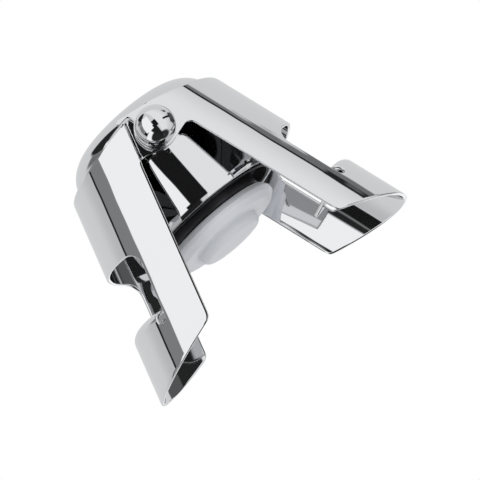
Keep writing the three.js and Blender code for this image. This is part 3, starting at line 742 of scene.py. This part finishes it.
CHROME = metal("chrome", (0.83, 0.84, 0.86), 0.03, 0.02, 0.02, 1e-5, ripple=30.0)
ZINC = metal("zinc plate", (0.62, 0.63, 0.65), 0.26, 0.08, 0.05, 4e-6)
WIRE = metal("spring wire", (0.42, 0.43, 0.45), 0.30, 0.08, 0.10, 6e-6)
# The dish and the split ring are steel coloured near black, so the ring round the seal shows dark.
NEAR_BLACK_STEEL = metal("near-black steel", (0.07, 0.07, 0.075), 0.45, 0.1, 0.05, 4e-6)
SILICONE = silicone()
for lever in (right_lever, left_lever):
    lever.data.materials.append(CHROME)
print("finishes:", [m.name for m in (CHROME, ZINC, WIRE, NEAR_BLACK_STEEL, SILICONE)])

# %% [markdown]
# A profile is a list of corners, each with how much it is eased. Every eased corner gets a close
# pair of points just outside it, so the flats beside it keep their own normals and reflect as
# flats. A Bevel modifier would do the same, but here one corner can be soft and the next crisp.

# %% Profiles of the turned pieces
HOLD, HOLD_SHARE = 0.05, 0.04
EASE_STEPS, EASE_SHARE = 6, 0.45


def eased(corners, closed=False):
    points = np.array([corner[:2] for corner in corners], float)
    eases = [corner[2] if len(corner) > 2 else 0 for corner in corners]
    count, result = len(points), []
    for i in range(count):
        here, ease = points[i], eases[i]
        if not ease or (not closed and i in (0, count - 1)):
            result.append(here)
            continue
        back, ahead = points[i - 1] - here, points[(i + 1) % count] - here
        room = min(np.linalg.norm(back), np.linalg.norm(ahead))
        back, ahead = back / np.linalg.norm(back), ahead / np.linalg.norm(ahead)
        half = math.acos(np.clip(back @ ahead, -1, 1)) / 2
        reach = min(ease / math.tan(half), EASE_SHARE * room)
        hold = min(HOLD, HOLD_SHARE * room)
        result.append(here + back * (reach + hold))
        for t in np.linspace(0, 1, EASE_STEPS + 1):
            result.append(here + back * reach * (1 - t) ** 2 + ahead * reach * t ** 2)
        result.append(here + ahead * (reach + hold))
    if closed:
        result.append(result[0])
    return np.array(result)


def oval(centre, radii, start, end, steps):
    turn = np.radians(np.linspace(start, end, steps + 1))
    return [(centre[0] + radii[0] * math.cos(a), centre[1] + radii[1] * math.sin(a)) for a in turn]


def turned(name, profile, material, steps=96, copies=1, lay_over=0.0):
    """A turned piece, raised from the pivots' height. The object's own mesh is its profile."""
    mesh = bpy.data.meshes.new(name + " profile")
    mesh.from_pydata([(r * MM, 0, z * MM) for r, z in profile], [], [])
    values = {"Points": len(profile), "Steps": steps, "Lay Over": lay_over, "Copies": copies,
              "Raise": PIVOT_HEIGHT * MM, "Material": material}
    return run_tree(name, TURNED, values, mesh)


# %% [markdown]
# The cup is one deep drawing of 0.8 mm sheet: a shoulder that is a quarter oval, a plain wall with
# a groove for the split ring, and a mouth that rolls outwards. Two flat bosses are pressed out of
# the wall for the rivets. Cutting a boss in with a Boolean would leave its edge to shade badly, so
# the turned mesh gets extra rows there and its own points are moved.

# %% Turn the cup
WALL = 0.8
CUP_BORE, CEILING = CUP_RADIUS - WALL, CUP_TOP - WALL
SHOULDER_START, SHOULDER_WIDTH = 2.5, 7.8
GROOVE_LOW, GROOVE_HIGH, GROOVE_DEPTH = CUP_MOUTH + 0.55, CUP_MOUTH + 1.55, 0.3
MOUTH_ROLL, MOUTH_ROLL_RISE = 4.1, 1.8
BOSS_FACE, BOSS_RADIUS, BOSS_MARGIN, BOSS_SLOPE, BOSS_ROWS = 17.3, 3.8, 0.5, 0.9, 0.5


def with_rows(profile, low, high, step):
    """The profile with extra points along its straight runs between two heights."""
    result = [profile[0]]
    for start, end in zip(profile, profile[1:]):
        rise = end[1] - start[1]
        if abs(rise) > step and min(start[1], end[1]) < high and max(start[1], end[1]) > low:
            parts = int(abs(rise) / step)
            result += [start + (end - start) * k / parts for k in range(1, parts)]
        result.append(end)
    return np.array(result)


def cup_profile():
    middle = (CUP_RADIUS - SHOULDER_WIDTH, SHOULDER_START)
    rise = CUP_TOP - SHOULDER_START
    lining = oval(middle, (SHOULDER_WIDTH - WALL, rise - WALL), 90, 0, 24)
    shoulder = oval(middle, (SHOULDER_WIDTH, rise), 0, 90, 32)
    groove = CUP_BORE + GROOVE_DEPTH
    roll = oval((CUP_RADIUS - MOUTH_ROLL, CUP_MOUTH + MOUTH_ROLL_RISE),
                (MOUTH_ROLL, MOUTH_ROLL), -25, 0, 12)
    mouth = eased([
        (CUP_BORE, SHOULDER_START), (CUP_BORE, GROOVE_HIGH, 0.05), (groove, GROOVE_HIGH, 0.05),
        (groove, GROOVE_LOW, 0.05), (CUP_BORE, GROOVE_LOW, 0.05), (CUP_BORE, CUP_MOUTH, 0.2),
        *roll, (CUP_RADIUS, SHOULDER_START)])
    mouth = with_rows(mouth, -2 * BOSS_RADIUS, SHOULDER_START, BOSS_ROWS)
    return np.vstack([[(0, CEILING)], lining, mouth[1:-1], shoulder, [(0, CUP_TOP)]])


def press_bosses(cup):
    """A flat boss round each rivet hole, pressed out of the wall."""
    for vertex in cup.data.vertices:
        x, y, z = vertex.co / MM
        out = math.hypot(x, z - PIVOT_HEIGHT)
        share = min(max((BOSS_RADIUS + BOSS_MARGIN - out) / BOSS_SLOPE, 0), 1)
        share *= share * (3 - 2 * share)
        thick = 0 if math.hypot(x, y) > CUP_RADIUS - WALL / 2 else WALL
        if share and abs(y) > CUP_BORE / 2:
            moved = abs(y) + share * (BOSS_FACE - thick - abs(y))
            vertex.co.y = math.copysign(moved, y) * MM


cup = turned("drawn_cup", cup_profile(), CHROME, steps=240)
press_bosses(cup)
show_boxes(cup)

# %% [markdown]
# Each pivot is a rivet with a polished ball head. Inwards from the ball come a thin washer, the
# levers' eyes on a shouldered bush, the cup's wall, and a second washer that the rivet's tail is
# set against. Each profile is drawn with the pivot upright, and the tree lays it over and copies
# it to the back, so front and rear are sure to be the same.

# %% Turn the pieces at the pivots
BALL_RADIUS, BALL_CUT, NECK_EASE = 4.0, 1.43, 0.1
SHANK, SHANK_FIT, WASHER_RADIUS, WASHER_THICK = 1.6, 1.7, 4.05, 0.4
BUSH_STEP, BUSH_BARREL, BUSH_SHOULDER = 18.25, 2.2, 3.4
WASHER_FACE = CHEEK_REACH + 0.3
HEAD_FACE = WASHER_FACE + WASHER_THICK
CLENCH_FACE, CLENCH_THICK, CLENCH_RADIUS = 15.83, 0.7, 3.2
TAIL_FACE, TAIL_RADIUS, TAIL_THICK = CLENCH_FACE - CLENCH_THICK, 2.6, 0.9


def pivot_piece(name, profile, material):
    return turned(name, profile, material, copies=2, lay_over=math.pi / 2)


def ring(inner, outer, low, high, ease):
    corners = [(inner, low, ease), (outer, low, ease), (outer, high, ease), (inner, high, ease)]
    return eased(corners, closed=True)


def rivet_profile():
    """Domed tail, shank and ball, whose lowest two degrees are left to its eased foot."""
    cut = -math.degrees(math.asin(BALL_CUT / BALL_RADIUS))
    foot = BALL_RADIUS * math.cos(math.radians(cut)) - NECK_EASE
    tail = oval((0, TAIL_FACE), (TAIL_RADIUS, TAIL_THICK), -90, -10, 12)
    body = eased([tail[-1], (TAIL_RADIUS, TAIL_FACE, 0.1), (SHANK, TAIL_FACE, 0.02),
                  (SHANK, HEAD_FACE, 0.02), (foot, HEAD_FACE, 0.05)])
    ball = oval((0, HEAD_FACE + BALL_CUT), (BALL_RADIUS, BALL_RADIUS), cut + 2, 90, 40)
    return np.vstack([tail[:-1], body, ball])


rivets = pivot_piece("ball_rivets", rivet_profile(), CHROME)
head_washers = pivot_piece(
    "head_washers", ring(SHANK_FIT, WASHER_RADIUS, WASHER_FACE, HEAD_FACE, 0.12), CHROME)
bushes = pivot_piece("pivot_bushes", eased([
    (SHANK_FIT, BOSS_FACE, 0.05), (BUSH_SHOULDER, BOSS_FACE, 0.15),
    (BUSH_SHOULDER, BUSH_STEP, 0.15), (BUSH_BARREL, BUSH_STEP, 0.05),
    (BUSH_BARREL, WASHER_FACE, 0.1), (SHANK_FIT, WASHER_FACE, 0.05)], closed=True), ZINC)
clench_washers = pivot_piece(
    "clench_washers", ring(SHANK_FIT, CLENCH_RADIUS, TAIL_FACE, CLENCH_FACE, 0.1), ZINC)
show_boxes(rivets, head_washers, bushes, clench_washers)

# %% [markdown]
# The seal is moulded silicone: a flange that covers the bottle's rim and a plug that reaches into
# its bore, with generous roundings where the mould was. It holds on to the button of a turned
# stem. A pressed dish backs it and rests on the split ring, and the stem slides in a sleeve.

# %% Turn the seal, its stem and its washer
SEAL_TOP, FLANGE_UNDER, PLUG_END = -18.65, -22.05, -24.15
FLANGE_RADIUS, PLUG_RADIUS, PLUG_ROUND, SEAL_BORE = 12.95, 7.3, 1.4, 3.3
POCKET_RADIUS, POCKET_TOP, POCKET_FLOOR = 5.4, -20.65, -22.85
STEM_RADIUS, COLLAR_RADIUS, BUTTON_RADIUS, STEM_TOP = 3.0, 4.4, 5.0, -1.0
DISH_TOP, WASHER_TOP, STEM_WASHER, COLLAR_TOP = -17.85, -17.35, 5.7, -16.35
BUTTON_TOP, BUTTON_UNDER, STEM_FIT = -20.95, -22.55, STEM_RADIUS + 0.1

plug = oval((PLUG_RADIUS - PLUG_ROUND, PLUG_END + PLUG_ROUND),
            (PLUG_ROUND, PLUG_ROUND), -90, 0, 10)
seal = turned("silicone_seal", eased([
    (0, PLUG_END), *plug, (PLUG_RADIUS, FLANGE_UNDER, 0.35),
    (FLANGE_RADIUS - 1.25, FLANGE_UNDER, 0.5), (FLANGE_RADIUS, FLANGE_UNDER + 1.2, 0.6),
    (FLANGE_RADIUS, SEAL_TOP - 1.2, 0.6), (FLANGE_RADIUS - 0.85, SEAL_TOP, 0.4),
    (SEAL_BORE, SEAL_TOP, 0.2), (SEAL_BORE, POCKET_TOP, 0.1), (POCKET_RADIUS, POCKET_TOP, 0.1),
    (POCKET_RADIUS, POCKET_FLOOR, 0.1), (0, POCKET_FLOOR)]), SILICONE, 128)
stem = turned("turned_stem", eased([
    (0, BUTTON_UNDER), (BUTTON_RADIUS, BUTTON_UNDER, 0.3), (BUTTON_RADIUS, BUTTON_TOP, 0.3),
    (STEM_RADIUS, BUTTON_TOP, 0.1), (STEM_RADIUS, WASHER_TOP, 0.05),
    (COLLAR_RADIUS, WASHER_TOP, 0.15), (COLLAR_RADIUS, COLLAR_TOP, 0.15),
    (STEM_RADIUS, COLLAR_TOP, 0.1), (STEM_RADIUS, STEM_TOP, 0.5), (0, STEM_TOP)]), ZINC)
stem_washer = turned(
    "washer_on_stem", ring(STEM_FIT, STEM_WASHER, DISH_TOP, WASHER_TOP, 0.08), ZINC)
show_boxes(seal, stem, stem_washer)

# %% Turn the dish, the sleeve and the spring's seat
DISH_SHEET, DISH_RIM, DISH_WALL, DISH_RIM_UNDER = 0.8, 15.2, 11.6, -15.0
DISH_RIM_TOP, DISH_INSIDE = DISH_RIM_UNDER + DISH_SHEET, DISH_WALL - DISH_SHEET
SLEEVE_BORE, SLEEVE_BARREL, SLEEVE_FLANGE, SLEEVE_THICK, SLEEVE_LENGTH = 3.3, 4.5, 8.9, 0.8, 13
SLEEVE_END, SLEEVE_UNDER = CEILING - SLEEVE_LENGTH, CEILING - SLEEVE_THICK
SEAT_RADIUS, SEAT_THICK, SEAT_FIT = 9.6, 0.8, SLEEVE_BARREL + 0.1

dish = turned("drawn_dish", eased([
    (STEM_FIT, SEAL_TOP, 0.05), (DISH_WALL, SEAL_TOP, 0.75), (DISH_WALL, DISH_RIM_UNDER, 0.35),
    (DISH_RIM, DISH_RIM_UNDER, 0.2), (DISH_RIM, DISH_RIM_TOP, 0.2),
    (DISH_INSIDE, DISH_RIM_TOP, 0.75), (DISH_INSIDE, DISH_TOP, 0.3), (STEM_FIT, DISH_TOP, 0.05)],
    closed=True), NEAR_BLACK_STEEL, 128)
sleeve = turned("turned_sleeve", eased([
    (SLEEVE_BORE, SLEEVE_END, 0.2), (SLEEVE_BARREL, SLEEVE_END, 0.2),
    (SLEEVE_BARREL, SLEEVE_UNDER, 0.2), (SLEEVE_FLANGE, SLEEVE_UNDER, 0.15),
    (SLEEVE_FLANGE, CEILING, 0.15), (SLEEVE_BORE, CEILING, 0.15)], closed=True), ZINC)
seat = turned("seat_washer", ring(
    SEAT_FIT, SEAT_RADIUS, SLEEVE_UNDER - SEAT_THICK, SLEEVE_UNDER, 0.12), ZINC)
show_boxes(dish, sleeve, seat)

# %% [markdown]
# The spring and the split ring are both wire wound round the axis, so a second tree makes the two.
# Its path is a line of points whose angle and height follow from their number, with closed turns
# at both ends of the spring, and a section is swept along it. Holding the section upright keeps
# the ring's flat wire from twisting.


# %% The tree for wound wire
def wound_height(tree, given, turn):
    """Height of the wire: a closed turn at each end and even pitch between them."""
    live = maths(tree, "MAXIMUM", maths(tree, "SUBTRACT", given["Turns"], 2.0), 0.001)
    rise = maths(tree, "SUBTRACT", given["High"], given["Low"])
    pitch = maths(tree, "SUBTRACT", rise, maths(tree, "MULTIPLY", given["Closed Pitch"], 2.0))
    first = maths(tree, "MULTIPLY", maths(tree, "MINIMUM", turn, 1.0), given["Closed Pitch"])
    past_first = maths(tree, "SUBTRACT", turn, 1.0)
    run = maths(tree, "MINIMUM", maths(tree, "MAXIMUM", past_first, 0.0), live)
    middle = maths(tree, "MULTIPLY", maths(tree, "DIVIDE", run, live), pitch)
    over = maths(tree, "MAXIMUM", maths(tree, "SUBTRACT", past_first, live), 0.0)
    last = maths(tree, "MULTIPLY", over, given["Closed Pitch"])
    return maths(tree, "ADD", maths(tree, "ADD", given["Low"], first),
                 maths(tree, "ADD", middle, last))


def wound_tree():
    tree = bpy.data.node_groups.new("wound wire", "GeometryNodeTree")
    given = named_inputs(tree, [
        ("Section", "Geometry"), ("Steps", "Int"), ("Radius", "Float"), ("Start", "Float"),
        ("Turns", "Float"), ("Low", "Float"), ("High", "Float"), ("Closed Pitch", "Float"),
        ("Material", "Material")])
    index = tree.nodes.new("GeometryNodeInputIndex").outputs[0]
    line = add(tree, "GeometryNodeMeshLine", {"Count": maths(tree, "ADD", given["Steps"], 1.0)})
    turn = maths(tree, "MULTIPLY", maths(tree, "DIVIDE", index, given["Steps"]), given["Turns"])
    angle = maths(tree, "ADD", maths(tree, "MULTIPLY", turn, math.tau), given["Start"])
    flat = add(tree, "ShaderNodeVectorRotate", {
        "Vector": vector(tree, X=given["Radius"], Z=wound_height(tree, given, turn)),
        "Angle": angle}, rotation_type="Z_AXIS")
    path = add(tree, "GeometryNodeSetPosition", {
        "Geometry": line.outputs[0], "Position": flat.outputs[0]})
    curve = add(tree, "GeometryNodeMeshToCurve", {"Mesh": path.outputs[0]})
    upright = add(tree, "GeometryNodeSetCurveNormal", {"Curve": curve.outputs[0]}, mode="Z_UP")
    section = add(tree, "GeometryNodeMeshToCurve", {"Mesh": given["Section"]})
    swept = add(tree, "GeometryNodeCurveToMesh", {
        "Curve": upright.outputs[0], "Profile Curve": section.outputs[0], "Fill Caps": True})
    finish_tree(tree, swept.outputs[0], given["Material"])
    return tree


WOUND = wound_tree()
print("wound wire tree:", len(WOUND.nodes), "nodes")


# %% Wind the spring and the split ring
def wound(name, section, values, material, pitch=0.0):
    """Wire of the closed section, wound as the values say, in mm from the pivots' height."""
    mesh = bpy.data.meshes.new(name + " section")
    count = len(section)
    mesh.from_pydata([(x * MM, y * MM, 0) for x, y in section],
                     [(i, (i + 1) % count) for i in range(count)], [])
    steps, radius, start, turns, low, high = values
    thing = run_tree(name, WOUND, {
        "Steps": steps, "Radius": radius * MM, "Start": start, "Turns": turns,
        "Low": (low + PIVOT_HEIGHT) * MM, "High": (high + PIVOT_HEIGHT) * MM,
        "Closed Pitch": pitch * MM, "Material": material}, mesh)
    thing.data.set_sharp_from_angle(angle=math.radians(50))
    return thing


WIRE_RADIUS, WIRE_GAP, SPRING_RADIUS = 0.65, 0.05, 7.65
SPRING_TURNS, STEPS_PER_TURN, CLOSED_SHARE = 7, 48, 1.45
SPRING_LOW = DISH_TOP + WIRE_RADIUS + WIRE_GAP
SPRING_HIGH = SLEEVE_UNDER - SEAT_THICK - WIRE_RADIUS - WIRE_GAP
round_wire = oval((0, 0), (WIRE_RADIUS, WIRE_RADIUS), 0, 360, 20)[:-1]
spring = wound("coil_spring", round_wire, (
    SPRING_TURNS * STEPS_PER_TURN, SPRING_RADIUS, 0, SPRING_TURNS, SPRING_LOW, SPRING_HIGH),
    WIRE, pitch=2 * WIRE_RADIUS * CLOSED_SHARE)

RING_INNER, RING_OUTER, RING_LOW, RING_TOP = 13.9, 16.45, -16.2, -15.3
RING_SPLIT, RING_STEPS = 5.0, 160
half_wide, half_high = (RING_OUTER - RING_INNER) / 2, (RING_TOP - RING_LOW) / 2
flat_wire = eased([(-half_high, -half_wide, 0.15), (half_high, -half_wide, 0.15),
                   (half_high, half_wide, 0.15), (-half_high, half_wide, 0.15)], closed=True)[:-1]
ring_middle, ring_level = (RING_INNER + RING_OUTER) / 2, (RING_TOP + RING_LOW) / 2
gap = math.asin(RING_SPLIT / 2 / ring_middle)
split_ring = wound("split_ring", flat_wire, (
    RING_STEPS, ring_middle, math.pi / 2 + gap, 1 - gap / math.pi, ring_level, ring_level),
    NEAR_BLACK_STEEL)
show_boxes(spring, split_ring)

# %% [markdown]
# Each piece now rides the body of the node that it stands for, and the working model's parts
# that it stands for are hidden. The spring rides the stopper's body at one length, though the real
# one shortens towards its seat as the seal is pushed up.

# %% Hand the pieces to the working model
PLACES = [
    (cup, "stopper_body", "chrome", ["body_shell"]),
    (sleeve, "stopper_body", "plated_steel", ["guide_sleeve"]),
    (seat, "stopper_body", "plated_steel", ["spring_seat"]),
    (spring, "stopper_body", "spring_steel", ["compression_spring"]),
    (split_ring, "stopper_body", "blackened_steel", ["retaining_ring"]),
    (rivets, "stopper_body", "chrome", ["front_pivot_rivet", "rear_pivot_rivet"]),
    (head_washers, "stopper_body", "chrome", ["front_head_washer", "rear_head_washer"]),
    (bushes, "stopper_body", "plated_steel", ["front_pivot_bush", "rear_pivot_bush"]),
    (clench_washers, "stopper_body", "plated_steel",
     ["front_clench_washer", "rear_clench_washer"]),
    (stem, "plunger", "plated_steel", ["plunger_stem"]),
    (stem_washer, "plunger", "plated_steel", ["stem_washer"]),
    (dish, "plunger", "blackened_steel", ["pressure_dish"]),
    (seal, "plunger", "silicone", ["seal"]),
    (right_lever, "right_lever", "chrome", ["right_arm"]),
    (left_lever, "left_lever", "chrome", ["left_arm"]),
]
for piece, body, slot, nodes in PLACES:
    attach(piece, body)
    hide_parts(*nodes)
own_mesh(spring)

# %% [markdown]
# Chrome shows nothing of its own, so the studio decides how it looks. A photographer stands white
# and black cards round such a thing, and every black line along an edge is a card's reflection.
# Planes with emission would do, but they would also light the seal and show in other views, unless
# each is hidden from the other rays. Here each card is a patch of the world instead: between two
# azimuths and two elevations, in degrees, a grey is laid over whatever is behind it. Azimuth 0 is
# in front of the stopper and grows to the right. Later cards lie over earlier ones.
#
# The inner cards are seen only in a reflection of a reflection. They stand for what a lever's
# inner face, the cup and the other lever throw to and fro between them.

# %% The cards: left, right, low, high, left edge, right edge, level edge, grey
CARDS = {
    "falling off to the right": (8, 70, -90, 90, 0.5, 26, 5, 0.88),
    "far right light": (133, 190, -36, -8, 4, 5, 2, 1.04),
    "left of the band": (-122, -104, -60, 45, 14, 1, 10, 0.56),
    "high grey on the left": (-124, -76, 37, 53, 4, 6, 4, 0.17),
    "high black on the left": (-144, -70, 52, 84, 4, 8, 2, 0.02),
    "table": (-190, 190, -91, -62, 1, 1, 6, 0.03),
    "table under the left": (-145, -8, -91, -33, 8, 8, 4, 0.02),
    "key light": (-79, -19, -15, 62, 0.8, 0.8, 3, 1.02),
    "key light, low part": (-125, -55, -32, -14, 3, 3, 2, 1.02),
    "grey band beside the key": (-101.5, -79, 2, 36, 0.5, 0.8, 3, 0.23),
    "black edge of the band": (-104.4, -101, 2, 34, 0.5, 0.5, 3, 0.01),
    "low black beside the key": (-103, -82, -14, 2, 1, 3, 1, 0.01),
    "slot for the camera, low part": (-26.5, -10, -26, -1, 0.7, 2, 1, 0.01),
    "low black under the key": (-82, -72, -14, -9.8, 2, 2, 1, 0.02),
    "slot for the camera": (-19, 9, -18, 19, 0.7, 0.7, 1.5, 0.01),
    "slot for the tripod": (-52, -4, -91, -16, 2, 2, 2, 0.015),
    "grey beside the right line": (87, 93, 14, 30, 0.5, 1.5, 2, 0.20),
    "grey beside the line, lower": (87, 97.5, 14, 23.8, 0.5, 1.5, 0.4, 0.17),
    "grey beside the line, lowest": (87, 102.5, 14, 23.0, 0.5, 1.5, 0.3, 0.17),
    "black line on the right": (84, 87.4, 17, 30, 0.5, 0.4, 2, 0.01),
    "black line, low flare": (83, 93.5, 17, 22.4, 0.5, 1.0, 0.3, 0.02),
    "low black on the right": (92, 128, -26, 8, 2, 3, 3, 0.06),
    "low strip inside the right": (47, 97, -9.5, -0.5, 2, 1.5, 0.6, 0.02),
    "grey strip beyond it": (97, 145, -8.5, -2.8, 1.5, 4, 0.4, 0.10),
}
INNER_CARDS = {
    "grey low on the right": (55, 135, -60, -22, 5, 5, 4, 0.45),
    "black before the far light": (105, 139, -31, -8, 3, 3, 2, 0.03),
    "thin black strip beyond it": (98, 163, -8.5, -3.8, 2, 2, 0.4, 0.02),
}
CARD_SIZES = ("Left", "Right", "Low", "High", "Left Edge", "Right Edge", "Level Edge", "Grey")
print("cards:", len(CARDS), "and", len(INNER_CARDS), "inner ones")


# %% The node group of one card
def past(tree, value, limit, edge):
    """0 before the limit and 1 past it, with a soft edge as wide as given to each side."""
    return add(tree, "ShaderNodeMapRange", {
        "Value": value, "From Min": maths(tree, "SUBTRACT", limit, edge),
        "From Max": maths(tree, "ADD", limit, edge)}, interpolation_type="SMOOTHSTEP").outputs[0]


def card_group():
    """One card: a grey laid over what is behind it, between two azimuths and two elevations."""
    tree = bpy.data.node_groups.new("card", "ShaderNodeTree")
    for name in ("Azimuth", "Elevation", *CARD_SIZES, "Behind", "Cover"):
        tree.interface.new_socket(name, in_out="INPUT", socket_type="NodeSocketFloat")
    tree.interface.new_socket("Grey", in_out="OUTPUT", socket_type="NodeSocketFloat")
    given = tree.nodes.new("NodeGroupInput").outputs
    wide = maths(tree, "SUBTRACT",
                 past(tree, given["Azimuth"], given["Left"], given["Left Edge"]),
                 past(tree, given["Azimuth"], given["Right"], given["Right Edge"]))
    tall = maths(tree, "SUBTRACT",
                 past(tree, given["Elevation"], given["Low"], given["Level Edge"]),
                 past(tree, given["Elevation"], given["High"], given["Level Edge"]))
    cover = maths(tree, "MAXIMUM", maths(tree, "MULTIPLY", wide, tall), 0.0)
    cover = maths(tree, "MULTIPLY", cover, given["Cover"])
    mixed = add(tree, "ShaderNodeMix", {0: cover, 2: given["Behind"], 3: given["Grey"]})
    out = tree.nodes.new("NodeGroupOutput")
    tree.links.new(mixed.outputs[0], out.inputs[0])
    return tree


CARD = card_group()
print("card group:", len(CARD.nodes), "nodes")

# %% [markdown]
# Light Path tells the rays apart. The camera sees plain white. Diffuse light sees a white tent, a
# little dimmer and cooler from below. Only glossy rays see the cards. In the world's nodes Ray
# Depth reads 2 at the first reflection and 3 at the second. Real chrome dims light only a little
# at each bounce, but the photograph is nearly black deep between the levers, so the world falls
# off with depth as well.

# %% The studio's world
OPEN_GREY = 0.70
SECOND_REFLECTION = 2.5
DIM_FROM, DIM_TO, DIM_LEAST = 2.4, 5.0, 0.05
TENT_LOW, TENT_HIGH, TENT_LEAST, TENT_COLOUR = -80.0, 40.0, 0.62, (0.97, 0.98, 1, 1)
WHITE = (1, 1, 1, 1)


def light(tree, colour, strength):
    return add(tree, "ShaderNodeBackground", {"Color": colour, "Strength": strength}).outputs[0]


def directions(tree):
    """Azimuth and elevation of the direction that a ray leaves in, in degrees."""
    way = add(tree, "ShaderNodeSeparateXYZ", {
        0: tree.nodes.new("ShaderNodeTexCoord").outputs["Generated"]}).outputs
    azimuth = maths(tree, "ARCTAN2", way[0], maths(tree, "MULTIPLY", way[1], -1.0))
    elevation = maths(tree, "ARCSINE", way[2], 0.0)
    return [maths(tree, "MULTIPLY", angle, math.degrees(1)) for angle in (azimuth, elevation)]


def laid_cards(tree, azimuth, elevation, depth):
    """The grey that a glossy ray sees: all cards laid one over another, dimmed with depth."""
    inner = maths(tree, "GREATER_THAN", depth, SECOND_REFLECTION)
    grey = OPEN_GREY
    for name, sizes in {**CARDS, **INNER_CARDS}.items():
        grey = add(tree, "ShaderNodeGroup", {
            "Azimuth": azimuth, "Elevation": elevation, **dict(zip(CARD_SIZES, sizes)),
            "Behind": grey, "Cover": inner if name in INNER_CARDS else 1.0},
            node_tree=CARD, label=name).outputs[0]
    dim = add(tree, "ShaderNodeMapRange", {
        "Value": depth, "From Min": DIM_FROM, "From Max": DIM_TO,
        "To Min": 1.0, "To Max": DIM_LEAST})
    return maths(tree, "MULTIPLY", grey, dim.outputs[0])


def studio_world():
    world = bpy.data.worlds.new("studio")
    world.use_nodes = True
    tree = world.node_tree
    tree.nodes.clear()
    ray = tree.nodes.new("ShaderNodeLightPath").outputs
    azimuth, elevation = directions(tree)
    cards = light(tree, WHITE, laid_cards(tree, azimuth, elevation, ray["Ray Depth"]))
    height = add(tree, "ShaderNodeMapRange", {
        "Value": elevation, "From Min": TENT_LOW, "From Max": TENT_HIGH,
        "To Min": TENT_LEAST, "To Max": 1.0}, interpolation_type="SMOOTHSTEP")
    tent = light(tree, TENT_COLOUR, height.outputs[0])
    lit = add(tree, "ShaderNodeMixShader", {0: ray["Is Glossy Ray"], 1: tent, 2: cards})
    mix = add(tree, "ShaderNodeMixShader", {
        0: ray["Is Camera Ray"], 1: lit.outputs[0], 2: light(tree, WHITE, 1.0)})
    out = tree.nodes.new("ShaderNodeOutputWorld")
    tree.links.new(mix.outputs[0], out.inputs[0])
    return world


scene.world = studio_world()
print("world:", len(scene.world.node_tree.nodes), "nodes")

# %% [markdown]
# The floor takes the stopper's soft shadow. The camera stands a little below it, so it is clear
# from beneath, and it fades into the white towards its rim, which leaves no horizon. Reflections
# pass through it too, because the cards already hold the table's grey. A plain white plane would
# be simpler, but it would hide the stopper from this camera and show its own far edge.

# %% The floor
FLOOR_REACH, FADE_START = 0.4, 0.3


def floor_surface():
    material, tree, shader = surface("pale floor", Roughness=0.9)
    place = tree.nodes.new("ShaderNodeTexCoord").outputs["Object"]
    mottle = add(tree, "ShaderNodeTexNoise", {"Vector": place, "Scale": 40.0, "Detail": 2.0})
    shade = mottled(tree, mottle, (0.86, 0.86, 0.87), (0.88, 0.88, 0.89))
    tree.links.new(shade, shader.inputs["Base Color"])
    away = add(tree, "ShaderNodeVectorMath", {0: place}, operation="LENGTH")
    fade = add(tree, "ShaderNodeMapRange", {
        "Value": away.outputs["Value"], "From Min": FADE_START * FLOOR_REACH,
        "From Max": FLOOR_REACH, "To Min": 1.0, "To Max": 0.0}, interpolation_type="SMOOTHSTEP")
    below = tree.nodes.new("ShaderNodeNewGeometry").outputs["Backfacing"]
    seen = maths(tree, "MULTIPLY", tree.nodes.new("ShaderNodeLightPath").outputs["Is Camera Ray"],
                 maths(tree, "SUBTRACT", 1.0, below))
    clear = tree.nodes.new("ShaderNodeBsdfTransparent")
    mixed = add(tree, "ShaderNodeMixShader", {
        0: maths(tree, "MULTIPLY", seen, fade.outputs[0]), 1: clear.outputs[0],
        2: shader.outputs[0]})
    tree.links.new(mixed.outputs[0], tree.nodes["Material Output"].inputs["Surface"])
    return material


def studio_floor():
    mesh = bpy.data.meshes.new("floor")
    corners = ((-1, -1), (1, -1), (1, 1), (-1, 1))
    mesh.from_pydata([(x * FLOOR_REACH, y * FLOOR_REACH, 0) for x, y in corners],
                     [], [(0, 1, 2, 3)])
    floor = bpy.data.objects.new("floor", mesh)
    scene.collection.objects.link(floor)
    mesh.materials.append(floor_surface())


studio_floor()
scene.view_settings.view_transform = "Standard"
print("floor reaches", FLOOR_REACH, "m")
